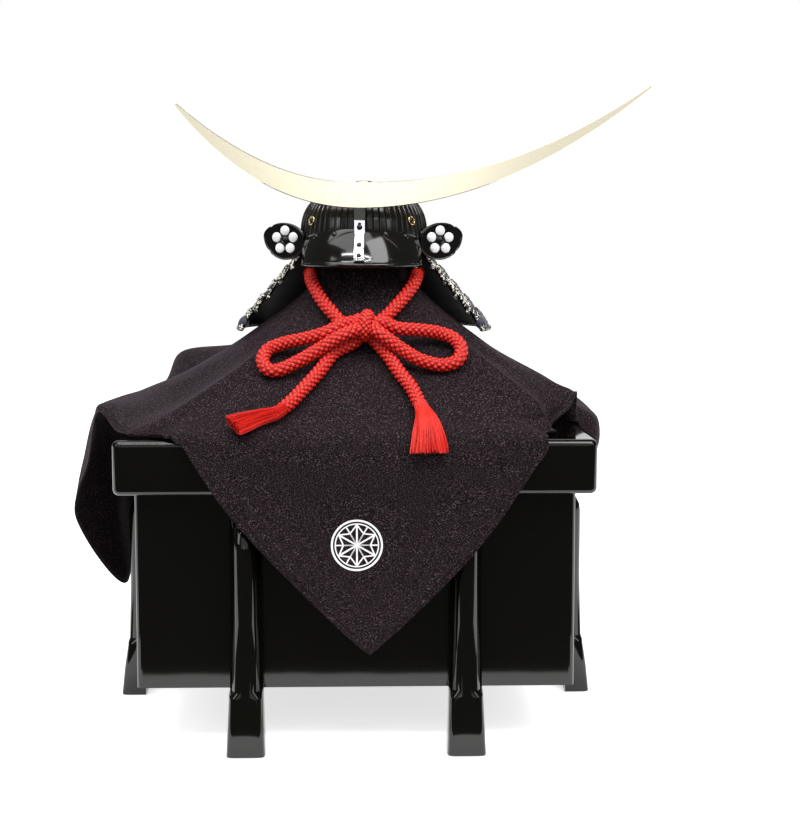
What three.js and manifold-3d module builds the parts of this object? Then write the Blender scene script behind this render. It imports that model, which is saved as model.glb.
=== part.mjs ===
// A quarter-size samurai helmet with a crescent crest, on a cloth-draped display box.
// Millimetres, +Z up. The front of the box faces -Y. The floor is z = 0.
import * as THREE from "three";
import { mergeVertices } from "three/addons/utils/BufferGeometryUtils.js";
import Module from "manifold-3d";

const wasm = await Module();
wasm.setup();

// Clearances
const seatGap = 0.3; // between two solids that touch on the real thing
const clothGap = 0.5; // between the cloth and what it lies on
const crownGap = 0.9; // the same, at the rounded top of the post and the bowl

// Display box
const lidWidth = 243;
const lidDepth = 229;
const lidHeight = 27.6;
const lidEdgeRound = 3;
const lidOverhang = 9.6; // lid past the body, on each side
const lidWall = 6;
const lidPlate = 6; // thickness of the lid's top board
const bodyClearance = 30; // floor to the underside of the body
const bodyShownHeight = 100.4; // body below the lid's rim
const bodyWall = 6;
const bodyCornerRound = 3;

// Legs
const legWidth = 17;
const legProud = 17; // how far the half-round shaft stands off the body
const legTopDrop = 12; // lid's rim down to the leg's top
const legTopLength = 13; // length of the sloping top end
const footWidth = 20;
const footProud = 22; // how far the foot's toe stands off the body
const footSetOut = 8; // foot's inner face to the plane of the body
const legSpacing = 111; // between the two front legs, and the two back legs

// Helmet's place on the box
const helmetShift = 5; // towards +X from the middle of the box
const helmetTurn = 3.5; // degrees, towards the viewer's left
const browHeight = 92; // top of the lid to the lower edge of the bowl

// Bowl
const bowlHalfWidth = 35;
const bowlLength = 1.07; // front to back, as a share of the width
const bowlHeight = 38.5;
const bowlBellyHeight = 12; // lower edge to the widest level
const bowlBaseTaper = 1.4; // how much narrower the lower edge is
const bowlFullness = 2.4; // exponent of the upper outline: 2 is an ellipse
const bowlWall = 1.4;
const ribCount = 62;
const ribHeight = 0.55;
const rivetRadius = 1.7;
const rivetAngle = 51; // degrees from the front and from the back
const rivetHeight = 18.3; // over the lower edge
const crownRingRadius = 8.5;
const crownRingHeight = 2.2;

// Peak
const peakTopRise = 13.5; // over the bowl's lower edge, at the middle
const peakTopArch = 4.3; // how far its ends lie below that
const peakRimDrop = 6.6; // below the bowl's lower edge
const peakInset = 3; // the rim's ends, inside the bowl's half width
const peakOverhang = 12.55; // bowl's front to the rim, at the middle
const peakSetBack = 12.45; // bowl's front back to the rim's ends
const peakSeatAngle = 56; // degrees from the front to the ends of its seat on the bowl
const peakSweep = 80; // degrees of the rim's arc, each way
const peakThickness = 1.2;
const peakBulge = 1.2;
const peakRimRoll = 0.7;
const stripWidth = 5.8;
const stripThickness = 1;

// Crest and its holder
const holderWidth = 6;
const holderThickness = 1.4;
const holderFoot = 13.2; // holder's lower end over the bowl's lower edge
const holderHeight = 21.6;
const crestThickness = 1.4;
const crestBottom = 24.8; // crescent's lower edge over the bowl's lower edge
const crestBand = 13.8; // width of the band at the middle
const crestLeftReach = 98.7;
const crestRightReach = 155;
const crestLeftRise = 55.5; // lower edge to the tip
const crestRightRise = 64.2;
const crestTipWidth = 2.2;

// Turnbacks and blossoms
const turnbackWidth = 25;
const turnbackHeight = 20.5;
const turnbackFoot = -3; // lower edge against the bowl's
const turnbackThickness = 1.2;
const turnbackInset = 3.1; // the turnback's inner edge, inside the bowl's half width
const turnbackLean = 20; // degrees, outer edge backwards
const petalRadius = 2.5;
const petalRing = 5.3;
const blossomHeight = 1.1;

// Neck guard
const lameCount = 5;
const lameClearance = 0.85; // bowl's lower edge to the first lame
const lameStepOut = 7; // between the upper edges of two lames
const lameStepDown = 8;
const lameSlant = 6.4; // how far a lame flares over its height
const lameHeight = 9.6;
const lowLameHeight = 11;
const lameThickness = 1.2;
const lameHalfAngle = 112; // degrees, from the back to each front end
const guardTop = 1.5; // top edge of the first lame over the bowl's lower edge

// Hidden post
const postRadius = 9;
const postBaseRadius = 45;
const postBaseThickness = 5;
const postHeadRadius = 16.5;
const postHeadThickness = 11;

// Cloth
const clothThickness = 1.2;
const neckRadius = 27;
const neckHeight = 79; // over the lid
const headCrown = 1.2; // how far the cloth falls over the post's flat top
const headShoulder = 5.5; // and down to its shoulder
const neckWaist = 1; // how far the cloth draws in under the head
const neckSlack = 4; // and sags there
const flapDrop = 109.5; // lid's edge down to the front tip
const flapHalfWidth = 94.5; // half the flap's width at the lid's edge
const flapShift = 1.5; // its middle, from the post towards +X
const flapBow = 1.12; // exponent of the hem: 1 is a straight line

// Each row is one direction from the post: degrees from the front towards +X. Columns ending in Up are
// shares of neckHeight above the lid, drop is a share of flapDrop, swing is in degrees, and the others
// are shares of the way from the post to the lid's edge.
const drapeColumns = ["angle", "midUp", "crest", "crestUp", "under", "underUp", "edge", "edgeUp", "belly", "hem", "drop", "swing"];
const drapeRows = [
  [-180, 0.5, 0.72, 0.2, 0.88, 0.075, 1, 0, 1.02, 1.04, 0.06, 0],
  [-152, 0.52, 0.74, 0.27, 0.88, 0.1, 1, 0.01, 1.04, 1.075, 0.05, 0],
  [-138, 0.51, 0.8, 0.33, 0.85, 0.17, 0.91, 0.02, 0.92, 0.925, 0.02, 0],
  [-126, 0.5, 0.89, 0.36, 0.93, 0.19, 0.97, 0.02, 0.98, 0.98, 0.12, 0],
  [-112, 0.56, 0.78, 0.27, 0.94, 0.13, 1.06, 0.04, 1.1, 1.08, 0.66, 0],
  [-100, 0.59, 0.78, 0.3, 0.98, 0.16, 1.1, 0.06, 1.13, 1.1, 0.98, 0],
  [-86, 0.59, 0.78, 0.31, 0.98, 0.17, 1.14, 0.075, 1.23, 1.265, 0.58, 0],
  [-75, 0.57, 0.77, 0.28, 0.96, 0.16, 1.12, 0.11, 1.15, 1.17, 0.28, 0],
  [-66, 0.56, 0.74, 0.23, 0.94, 0.14, 1.09, 0.13, 1.1, 1.1, 0.03, 0],
  [-56, 0.52, 0.72, 0.19, 0.86, 0.1, 0.99, 0.05, 1, 1, 0.03, 0],
  [-46, 0.5, 0.7, 0.2, 0.8, 0.1, 0.91, 0.01, 0.92, 0.92, 0.02, 0],
  [-39, 0.49, 0.72, 0.2, 0.88, 0.08, 0.99, 0, 1, 1, 0.03, 0],
  [-27, 0.49, 0.74, 0.2, 0.88, 0.08, 1, 0, 1.04, 1.075, 0.03, 0],
  [0, 0.5, 0.76, 0.2, 0.88, 0.085, 1, 0, 1.02, 1.04, 0.03, 0],
  [23, 0.5, 0.76, 0.2, 0.88, 0.082, 1, 0, 1.04, 1.075, 0.03, 0],
  [36, 0.51, 0.76, 0.2, 0.88, 0.08, 1, 0, 1.01, 1.01, 0.03, 0],
  [42, 0.52, 0.8, 0.15, 0.84, 0.06, 0.92, 0.01, 0.93, 0.93, 0.02, 0],
  [50, 0.54, 0.83, 0.13, 0.8, 0.03, 0.85, 0.005, 0.86, 0.87, 0.01, 0],
  [59, 0.56, 0.91, 0.165, 0.84, 0.03, 0.89, 0.01, 0.92, 0.93, 0.01, 1],
  [66, 0.54, 0.96, 0.19, 0.89, 0.04, 1, 0.055, 1.01, 1.01, 0.05, 16],
  [76, 0.53, 0.965, 0.18, 0.92, 0.07, 1.015, 0.06, 1.02, 1.02, 0.14, 14],
  [90, 0.52, 0.98, 0.2, 0.97, 0.13, 1.02, 0.05, 1.025, 1.025, 0.24, 4],
  [105, 0.53, 0.88, 0.24, 0.96, 0.15, 1.02, 0.03, 1.03, 1.03, 0.2, 0],
  [120, 0.54, 0.7, 0.26, 0.84, 0.12, 0.94, 0.02, 0.95, 0.95, 0.04, 0],
  [135, 0.5, 0.62, 0.24, 0.74, 0.11, 0.85, 0.015, 0.86, 0.86, 0.02, 0],
  [152, 0.5, 0.7, 0.2, 0.88, 0.08, 1, 0, 1.04, 1.075, 0.04, 0],
];
const drapeDirections = 60;
const drapeSteps = [1, 1, 1, 1, 2, 2, 1, 1, 2, 1]; // pieces of the mesh between two control points

// Chin cord: a braided cord, tied in a bow in front. Routes are points that the cord's middle follows.
const cordDiameter = 7;
const cordSides = 8;
const knotCentre = [5.3, -59.4, 212.4];
const knotRadii = [8.6, 8.6, 7.6];
const clothSlope = 43; // degrees, of the cloth under the knot
const chinRoute = [
  [3.2, -56.2, 211.8], [-1.2, -52, 210.8], [-4.9, -50, 212.2], [-8.2, -47.5, 214.6],
  [-12, -43, 218.4], [-17.2, -36.4, 224.2], [-21.3, -28.8, 230.4], [-24, -20.5, 235.2],
  [-25, -8.5, 239.2], [-25.8, 1.1, 239.7], [-23.9, 10.5, 239.8], [-19.2, 19.2, 240],
  [-12.3, 25.7, 239.6], [-3.5, 29.9, 239.4], [5, 31.1, 239.3], [14.6, 29.6, 239.3],
  [23.2, 25.1, 239.4], [30.1, 18.2, 239.5], [34.4, 9.5, 239.7], [35.9, 0, 239.9],
  [35, -8.6, 239.6], [33.6, -20.7, 237], [31.8, -27.8, 233.6], [28.4, -33.6, 229.2],
  [21.4, -42, 221.6], [15.8, -47.6, 216.4], [11.8, -51.4, 213.9], [8.2, -55.6, 212.6],
];
const loopRoutes = {
  left: [
    [0.8, -59.8, 213.4], [-3.4, -60.2, 214.3], [-9.5, -62.0, 212.0], [-16.0, -62.9, 209.0], [-26.1, -60.4, 206.0],
    [-38.1, -56.8, 203.2], [-46.0, -57.5, 200.0], [-48.8, -62.8, 195.6], [-46.8, -69.2, 191.0], [-41.5, -72.1, 189.8],
    [-30.7, -71.0, 194.2], [-20.7, -69.8, 199.8], [-11.0, -69.6, 205.8], [-4.2, -68.6, 209.4], [1.5, -63.9, 211.2],
  ],
  right: [
    [9.8, -59.8, 213.4], [14.0, -60.2, 214.3], [22.4, -60.8, 211.4], [34.0, -57.7, 210.2], [45.0, -55.4, 208.5],
    [52.4, -58.2, 205.5], [55.9, -63.9, 200.6], [53.5, -70.0, 194.9], [46.0, -72.1, 192.6], [34.3, -72.2, 195.2],
    [25.1, -71.0, 200.4], [17.6, -70.2, 205.8], [13.0, -68.8, 209.2], [9.1, -63.9, 211.2],
  ],
};
const endRoutes = {
  left: [
    [2.7, -59.2, 208.2], [0.4, -59.6, 204.9], [-4.8, -61.2, 202.0], [-11.0, -64.6, 198.8], [-18.6, -74.3, 189.8],
    [-26.3, -85.4, 181.9], [-32.7, -95.2, 175.8], [-36.9, -101.0, 172.6],
  ],
  right: [
    [7.9, -59.2, 208.2], [10.2, -59.6, 204.9], [13.4, -62.5, 201.6], [17.5, -68.1, 196.9], [22.0, -76.0, 190.3],
    [28.6, -87.5, 182.3], [32.5, -98.7, 175.0],
  ],
};
const tasselRoutes = {
  left: [[-40.1, -105.4, 170.9], [-49.5, -111.2, 169.2], [-61.0, -118.0, 166.0]],
  right: [[34.0, -103.2, 172.2], [35.6, -114.8, 167.6], [36.2, -121.8, 160.5], [36.4, -123.8, 152.5]],
};
const tasselHeadRadius = 4.7;
const tasselLocks = 5;
const tasselTopWidth = 5;
const tasselTipWidth = { left: 11, right: 15 };
const tasselLockRadius = 2.4;

// Sizes worked out from the ones above
const lidBottom = bodyClearance + bodyShownHeight;
const lidTop = lidBottom + lidHeight;
const bodyWidth = lidWidth - 2 * lidOverhang;
const bodyDepth = lidDepth - 2 * lidOverhang;
const bowlBase = lidTop + browHeight;
const bowlTop = bowlBase + bowlHeight;
const clothTop = bowlTop - bowlWall - crownGap;
const bowlFront = bowlLength * bowlHalfWidth;
const peakHalfWidth = bowlHalfWidth - peakInset;
const peakReach = bowlFront + peakOverhang;
const peakEndReach = bowlFront - peakSetBack;
const turnbackSide = bowlHalfWidth - turnbackInset;
const lameTopRadius = bowlHalfWidth - bowlBaseTaper + ribHeight + lameClearance;
const postTop = clothTop - clothThickness - 1.5 * crownGap;
const clothOff = clothGap + clothThickness + 0.3; // cloth's outer face to the lid
const clothHeadRadius = postHeadRadius + clothGap + clothThickness;

const materials = {
  lacquer: new THREE.MeshStandardMaterial({ color: 0x0b0a0a, roughness: 0.12, metalness: 0 }),
  iron: new THREE.MeshStandardMaterial({ color: 0x12110f, roughness: 0.25, metalness: 0.4 }),
  bright: new THREE.MeshStandardMaterial({ color: 0x8d8f98, roughness: 0.25, metalness: 0.9 }),
  gold: new THREE.MeshStandardMaterial({ color: 0xe9d9a0, roughness: 0.2, metalness: 1 }),
  silver: new THREE.MeshStandardMaterial({ color: 0xe8e8ea, roughness: 0.3, metalness: 0.8 }),
  lame: new THREE.MeshStandardMaterial({ color: 0x0e0e11, roughness: 0.3, metalness: 0.1 }),
  cloth: new THREE.MeshStandardMaterial({ color: 0x2b1f27, roughness: 0.95, metalness: 0 }),
  cord: new THREE.MeshStandardMaterial({ color: 0xd02a20, roughness: 0.6, metalness: 0 }),
  board: new THREE.MeshStandardMaterial({ color: 0x6b5a45, roughness: 0.8, metalness: 0 }),
};

const radians = THREE.MathUtils.degToRad;
const point = (x, y, z) => new THREE.Vector3(x, y, z);
const mix = THREE.MathUtils.lerp;

function range(count) {
  return Array.from({ length: count }, (_, i) => i);
}

function mesh(name, geometry, material) {
  const made = new THREE.Mesh(geometry, material);
  made.name = name;
  return made;
}

function toSolid(geometry) {
  const bare = geometry.clone();
  bare.deleteAttribute("normal");
  bare.deleteAttribute("uv");
  const merged = mergeVertices(bare, 1e-4);
  const vertProperties = new Float32Array(merged.attributes.position.array);
  const triVerts = new Uint32Array(merged.index.array);
  return new wasm.Manifold(new wasm.Mesh({ numProp: 3, vertProperties, triVerts }));
}

function toGeometry(solid) {
  const made = solid.getMesh();
  const geometry = new THREE.BufferGeometry();
  geometry.setAttribute("position", new THREE.BufferAttribute(new Float32Array(made.vertProperties), 3));
  geometry.setIndex(new THREE.BufferAttribute(new Uint32Array(made.triVerts), 1));
  geometry.computeVertexNormals();
  return geometry;
}

function joined(geometries) {
  return toGeometry(geometries.map(toSolid).reduce((all, one) => all.add(one)));
}

function cut(geometry, tool) {
  return toGeometry(toSolid(geometry).subtract(toSolid(tool)));
}

// One closed body through a row of rings. A ring is a list of points round the body; a ring of one point
// closes an end, and any other end gets a fan from its middle.
function loft(rings) {
  const first = rings[0].length === 1 ? rings : [[middle(rings[0])], ...rings];
  const all = first.at(-1).length === 1 ? first : [...first, [middle(first.at(-1))]];
  const positions = [];
  const starts = all.map((ring) => {
    const start = positions.length / 3;
    ring.forEach((p) => positions.push(p.x, p.y, p.z));
    return start;
  });
  const faces = [];
  for (let r = 0; r + 1 < all.length; r += 1) {
    const a = all[r].length;
    const b = all[r + 1].length;
    for (let i = 0; i < Math.max(a, b); i += 1) {
      const a0 = starts[r] + (i % a);
      const a1 = starts[r] + ((i + 1) % a);
      const b0 = starts[r + 1] + (i % b);
      const b1 = starts[r + 1] + ((i + 1) % b);
      if (a > 1) faces.push([a0, a1, b0]);
      if (b > 1) faces.push([a1, b1, b0]);
    }
  }
  const corner = (i) => point(positions[3 * i], positions[3 * i + 1], positions[3 * i + 2]);
  const volume = faces.reduce((sum, [i, j, k]) => sum + corner(i).dot(corner(j).cross(corner(k))), 0);
  const index = faces.flatMap(([i, j, k]) => (volume < 0 ? [i, k, j] : [i, j, k]));
  const geometry = new THREE.BufferGeometry();
  geometry.setAttribute("position", new THREE.Float32BufferAttribute(positions, 3));
  geometry.setIndex(index);
  geometry.computeVertexNormals();
  return geometry;
}

function middle(ring) {
  return ring.reduce((sum, p) => sum.add(p), point(0, 0, 0)).divideScalar(ring.length);
}

// A body of revolution about +Z. The profile is a list of [radius, height].
function turned(profile, sides) {
  const geometry = new THREE.LatheGeometry(profile.map(([r, z]) => new THREE.Vector2(r, z)), sides);
  return geometry.rotateX(Math.PI / 2);
}

function roundedRectangle(width, depth, radius) {
  const shape = new THREE.Shape();
  const x = width / 2 - radius;
  const y = depth / 2 - radius;
  shape.absarc(x, y, radius, 0, Math.PI / 2);
  shape.absarc(-x, y, radius, Math.PI / 2, Math.PI);
  shape.absarc(-x, -y, radius, Math.PI, 1.5 * Math.PI);
  shape.absarc(x, -y, radius, 1.5 * Math.PI, 2 * Math.PI);
  return shape;
}

function block(width, depth, low, high, radius) {
  const shape = roundedRectangle(width, depth, radius);
  const geometry = new THREE.ExtrudeGeometry(shape, { depth: high - low, bevelEnabled: false, curveSegments: 3 });
  return geometry.translate(0, 0, low);
}

// The same with all its edges rounded.
function softBlock(width, depth, low, high, radius) {
  const corner = radius + 1;
  const ring = (turn, level) => {
    const inset = radius * (1 - Math.cos(turn));
    const outline = roundedRectangle(width - 2 * inset, depth - 2 * inset, corner - inset);
    return outline.getPoints(3).map((p) => point(p.x, p.y, level));
  };
  const turns = range(3).map((i) => (Math.PI * i) / 4);
  return loft([
    ...turns.toReversed().map((turn) => ring(turn, low + radius * (1 - Math.sin(turn)))),
    ...turns.map((turn) => ring(turn, high - radius * (1 - Math.sin(turn)))),
  ]);
}

// Display box

function boxBody() {
  const top = lidTop - lidPlate - seatGap;
  const outer = block(bodyWidth, bodyDepth, bodyClearance, top, bodyCornerRound);
  const hollow = new THREE.BoxGeometry(bodyWidth - 2 * bodyWall, bodyDepth - 2 * bodyWall, top);
  hollow.translate(0, 0, bodyClearance + bodyWall + top / 2);
  return cut(outer, hollow);
}

function boxLid() {
  const pocketHeight = lidHeight - lidPlate;
  const pocket = new THREE.BoxGeometry(lidWidth - 2 * lidWall, lidDepth - 2 * lidWall, 2 * pocketHeight);
  pocket.translate(0, 0, lidBottom);
  return cut(softBlock(lidWidth, lidDepth, lidBottom, lidTop, lidEdgeRound), pocket);
}

// A leg's outline at one level: flat where it meets the box, full in front. It stands off along -Y.
function legRing(level, halfWidth, inner, outer, squareness) {
  return range(10).map((i) => {
    const angle = (Math.PI * i) / 9;
    const across = Math.sign(Math.cos(angle)) * Math.abs(Math.cos(angle)) ** (2 / squareness);
    const forward = Math.sin(angle) ** (2 / squareness);
    return point(halfWidth * across, -mix(inner, outer, forward), level);
  });
}

function leg() {
  const top = lidBottom - legTopDrop;
  const under = bodyClearance - seatGap;
  const half = legWidth / 2;
  const footHalf = footWidth / 2;
  return loft([
    legRing(0, footHalf, footSetOut, footProud, 7),
    legRing(0.5 * under, mix(half, footHalf, 0.45), 0.95 * footSetOut, mix(legProud, footProud, 0.7), 7),
    legRing(under, mix(half, footHalf, 0.15), 0.9 * footSetOut, mix(legProud, footProud, 0.3), 4),
    legRing(bodyClearance + 2, half + 0.2, seatGap, mix(legProud, footProud, 0.2), 2.6),
    legRing(mix(under, top, 0.4), half, seatGap, legProud, 2.2),
    legRing(top - legTopLength, half, seatGap, legProud, 2.2),
    legRing(top - 0.4 * legTopLength, half, seatGap, 0.8 * legProud, 2.2),
    legRing(top, 0.94 * half, seatGap, 0.42 * legProud, 2.2),
  ]);
}

function legs() {
  const places = [
    ["leg_front_left", -legSpacing / 2, -bodyDepth / 2, 0],
    ["leg_front_right", legSpacing / 2, -bodyDepth / 2, 0],
    ["leg_right", bodyWidth / 2, 0, 90],
    ["leg_back_right", legSpacing / 2, bodyDepth / 2, 180],
    ["leg_back_left", -legSpacing / 2, bodyDepth / 2, 180],
    ["leg_left", -bodyWidth / 2, 0, 270],
  ];
  return places.map(([name, x, y, turn]) => {
    const made = mesh(name, leg(), materials.lacquer);
    made.position.set(x, y, 0);
    made.rotation.z = radians(turn);
    return made;
  });
}

// Post and cloth

function post() {
  const bottom = lidTop + seatGap;
  const neckLevel = postTop - postHeadThickness;
  return turned([
    [0, bottom],
    [postBaseRadius, bottom],
    [postBaseRadius, bottom + postBaseThickness],
    [postRadius, bottom + 2 * postBaseThickness],
    [postRadius, neckLevel - postHeadRadius + postRadius],
    [postHeadRadius, neckLevel],
    [postHeadRadius, postTop - 0.45 * postHeadThickness],
    [0.9 * postHeadRadius, postTop - 0.27 * postHeadThickness],
    [0.5 * postHeadRadius, postTop],
    [0, postTop],
  ], 16);
}

// A smooth value between the rows of the drape table, for any direction.
function drapeRow(degrees) {
  const count = drapeRows.length;
  const row = (i) => {
    const turns = Math.floor(i / count);
    const [angle, ...values] = drapeRows[i - turns * count];
    return [angle + 360 * turns, ...values];
  };
  const before = drapeRows.findLastIndex(([angle]) => angle <= degrees);
  const [a, b, c, d] = [row(before - 1), row(before), row(before + 1), row(before + 2)];
  const span = c[0] - b[0];
  const t = (degrees - b[0]) / span;
  return Object.fromEntries(drapeColumns.map((column, i) => {
    const slopeB = (c[i] - a[i]) / (c[0] - a[0]);
    const slopeC = (d[i] - b[i]) / (d[0] - b[0]);
    const value = (1 + 2 * t) * (1 - t) ** 2 * b[i] + t * (1 - t) ** 2 * span * slopeB
      + t * t * (3 - 2 * t) * c[i] + t * t * (t - 1) * span * slopeC;
    return [column, value];
  }));
}

// Distance from the post to the cloth's plane just outside the lid's edge.
function lidReach(angle) {
  const off = clothOff;
  const across = Math.sin(angle);
  const forward = Math.cos(angle);
  const toSide = (lidWidth / 2 + off - Math.sign(across) * helmetShift) / Math.max(Math.abs(across), 1e-6);
  const toEnd = (lidDepth / 2 + off) / Math.max(Math.abs(forward), 1e-6);
  return Math.min(toSide, toEnd);
}

// The cloth's upper face along one direction, from its top to its hem: points of [out, height, swing].
function drapeControls(degrees) {
  const row = drapeRow(degrees);
  const angle = radians(degrees);
  const reach = lidReach(angle);
  const swing = radians(row.swing);
  const onLid = lidTop + clothOff;
  const neckLevel = lidTop + neckHeight;
  const crest = row.crest * reach;
  const edgeLevel = onLid + row.edgeUp * neckHeight;
  const towardsFlap = Math.abs(Math.cos(angle)) > 0.7;
  const aside = Math.abs(reach * Math.sin(angle) - flapShift);
  const flap = towardsFlap ? 1 - (aside / flapHalfWidth) ** flapBow : 0;
  const drop = flapDrop * Math.max(row.drop, flap);
  return [
    [0, clothTop, 0],
    [0.6 * clothHeadRadius, clothTop - headCrown, 0],
    [clothHeadRadius, clothTop - headShoulder, 0],
    [(clothHeadRadius + neckRadius) / 2 - neckWaist, (clothTop + neckLevel) / 2 - neckSlack, 0],
    [neckRadius, neckLevel, 0],
    [(neckRadius + crest) / 2, onLid + row.midUp * neckHeight, 0],
    [crest, onLid + row.crestUp * neckHeight, 0],
    [row.under * reach, onLid + row.underUp * neckHeight, 0],
    [row.edge * lidReach(angle - 0.5 * swing), edgeLevel, 0.5 * row.swing],
    [row.belly * lidReach(angle - 0.8 * swing), edgeLevel - 0.58 * drop, 0.8 * row.swing],
    [row.hem * lidReach(angle - swing), edgeLevel - drop, row.swing],
  ];
}

function drapeLine(degrees) {
  const controls = drapeControls(degrees).map((c) => point(...c));
  const curve = new THREE.CatmullRomCurve3(controls, false, "centripetal");
  const last = controls.length - 1;
  const shares = drapeSteps.flatMap((steps, i) => range(steps).map((j) => (i + j / steps) / last));
  return [...shares, 1].map((share) => {
    const p = curve.getPoint(share);
    const angle = radians(degrees - p.z);
    const beyond = p.x > lidReach(angle) - 0.05;
    const level = beyond ? p.y : Math.max(p.y, lidTop + clothOff);
    return point(p.x * Math.sin(angle), -p.x * Math.cos(angle), level);
  });
}

function drape() {
  const lines = range(drapeDirections).map((i) => drapeLine(-180 + (360 * i) / drapeDirections));
  const levels = range(lines[0].length);
  const upper = levels.map((level) => lines.map((line) => line[level]));
  const lower = levels.map((level) => lines.map((line, i) => {
    if (level === 0) return line[0].clone().setZ(line[0].z - clothThickness);
    const next = lines[(i + 1) % lines.length];
    const previous = lines.at(i - 1);
    const along = line[Math.min(level + 1, line.length - 1)].clone().sub(line[level - 1]);
    const around = next[level].clone().sub(previous[level]);
    const inwards = around.cross(along).normalize();
    return line[level].clone().addScaledVector(inwards, clothThickness);
  }));
  const apex = (rings) => [[rings[0][0]], ...rings.slice(1)];
  const sheet = loft([...apex(lower), ...apex(upper).reverse()]).translate(helmetShift, 0, 0);
  const past = 2 * seatGap;
  const room = softBlock(lidWidth + past, lidDepth + past, lidBottom - lidEdgeRound, lidTop + seatGap, lidEdgeRound);
  return mesh("drape_cloth", cut(sheet, room), materials.cloth);
}

// Bowl

function bowlRadius(level, radius, top) {
  const belly = bowlBase + bowlBellyHeight;
  if (level < belly) {
    return radius - bowlBaseTaper * ((belly - level) / bowlBellyHeight) ** 2;
  }
  const share = Math.min((level - belly) / (top - belly), 1);
  return radius * (1 - share ** bowlFullness) ** (1 / bowlFullness);
}

function bowlShell() {
  const heights = [0, 0.32, 0.6, 0.8, 0.93].map((share) => bowlBase + share * bowlHeight);
  const rings = heights.map((level) => range(2 * ribCount).map((i) => {
    const angle = (Math.PI * (i + 0.5)) / ribCount;
    const rib = i % 2 === 0 ? ribHeight * Math.min(1, (1.2 * bowlRadius(level, bowlHalfWidth, bowlTop)) / bowlHalfWidth) : 0;
    const radius = bowlRadius(level, bowlHalfWidth, bowlTop) + rib;
    return point(radius * Math.sin(angle), -bowlLength * radius * Math.cos(angle), level);
  }));
  return loft([...rings, [point(0, 0, bowlTop)]]);
}

function bowlHollow() {
  const top = bowlTop - bowlWall;
  const heights = [0, 0.32, 0.6, 0.8, 0.93].map((share) => bowlBase + share * (top - bowlBase));
  const wall = heights.map((level) => [bowlRadius(level, bowlHalfWidth - bowlWall, top), level]);
  const mouth = bowlBase - bowlHeight / 4;
  return turned([[0, mouth], [wall[0][0], mouth], ...wall, [0, top]], 24).scale(1, bowlLength, 1);
}

function bowlRivet(degrees) {
  const level = bowlBase + rivetHeight;
  const radius = bowlRadius(level, bowlHalfWidth, bowlTop);
  const angle = radians(degrees);
  const head = new THREE.SphereGeometry(rivetRadius, 7, 5);
  return head.translate(radius * Math.sin(angle), -bowlLength * radius * Math.cos(angle), level);
}

function bowl() {
  const rivets = [rivetAngle, 180 - rivetAngle, 180 + rivetAngle, -rivetAngle].map(bowlRivet);
  return cut(joined([bowlShell(), ...rivets]), bowlHollow());
}

function crownRing() {
  const low = bowlTop + seatGap;
  const step = crownRingHeight / 3;
  return turned([
    [0, low],
    [crownRingRadius, low],
    [crownRingRadius, low + step],
    [0.78 * crownRingRadius, low + step],
    [0.78 * crownRingRadius, low + 2 * step],
    [0.55 * crownRingRadius, low + 2 * step],
    [0.55 * crownRingRadius, low + 3 * step],
    [0.35 * crownRingRadius, low + 3 * step],
    [0.35 * crownRingRadius, low + 0.6 * step],
    [0, low + 0.6 * step],
  ], 12);
}

// Peak. side runs from -1 to 1 across it, down from 0 at its seat on the bowl to 1 at the rim.

function peakPoint(side, down, off) {
  const topLevel = bowlBase + peakTopRise - peakTopArch * side * side;
  const seat = radians(peakSeatAngle * side);
  const seatRadius = bowlRadius(topLevel, bowlHalfWidth, bowlTop) + ribHeight + seatGap;
  const top = point(seatRadius * Math.sin(seat), -bowlLength * seatRadius * Math.cos(seat), topLevel);
  const sweep = radians(peakSweep);
  const forward = (Math.cos(sweep * side) - Math.cos(sweep)) / (1 - Math.cos(sweep));
  const across = (peakHalfWidth * Math.sin(sweep * side)) / Math.sin(sweep);
  const rim = point(across, -mix(peakEndReach, peakReach, forward), bowlBase - peakRimDrop);
  const out = point(Math.sin(seat), -Math.cos(seat), 0.55).normalize();
  const bulge = 4 * peakBulge * down * (1 - down);
  return top.lerp(rim, down).addScaledVector(out, off + bulge);
}

function peak() {
  const sides = range(19).map((i) => -1 + i / 9);
  return loft(sides.map((side) => [
    peakPoint(side, 0, 0),
    peakPoint(side, 0, peakThickness),
    peakPoint(side, 0.35, peakThickness),
    peakPoint(side, 0.7, peakThickness),
    peakPoint(side, 0.93, peakThickness),
    peakPoint(side, 0.98, peakThickness + peakRimRoll),
    peakPoint(side, 1.04, peakThickness),
    peakPoint(side, 1.02, 0),
    peakPoint(side, 0.5, 0),
  ]));
}

function peakStrip() {
  const halfSide = stripWidth / 2 / peakHalfWidth / (radians(peakSweep) / Math.sin(radians(peakSweep)));
  const inner = peakThickness + seatGap;
  const outer = inner + stripThickness;
  const downs = [0.2, 0.45, 0.7, 0.9];
  const plate = loft([-1, 0, 1].map((share) => [
    ...downs.map((down) => peakPoint(share * halfSide, down, outer)),
    ...downs.toReversed().map((down) => peakPoint(share * halfSide, down, inner)),
  ]));
  const rivets = [0.52, 0.82].map((down) => {
    const at = peakPoint(0, down, outer);
    return new THREE.SphereGeometry(1.2, 8, 6).translate(at.x, at.y, at.z);
  });
  return joined([plate, ...rivets]);
}

// Crest and its holder

const holderBack = -bowlLength * (bowlHalfWidth + ribHeight + seatGap) - peakThickness - 3 * seatGap;

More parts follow.
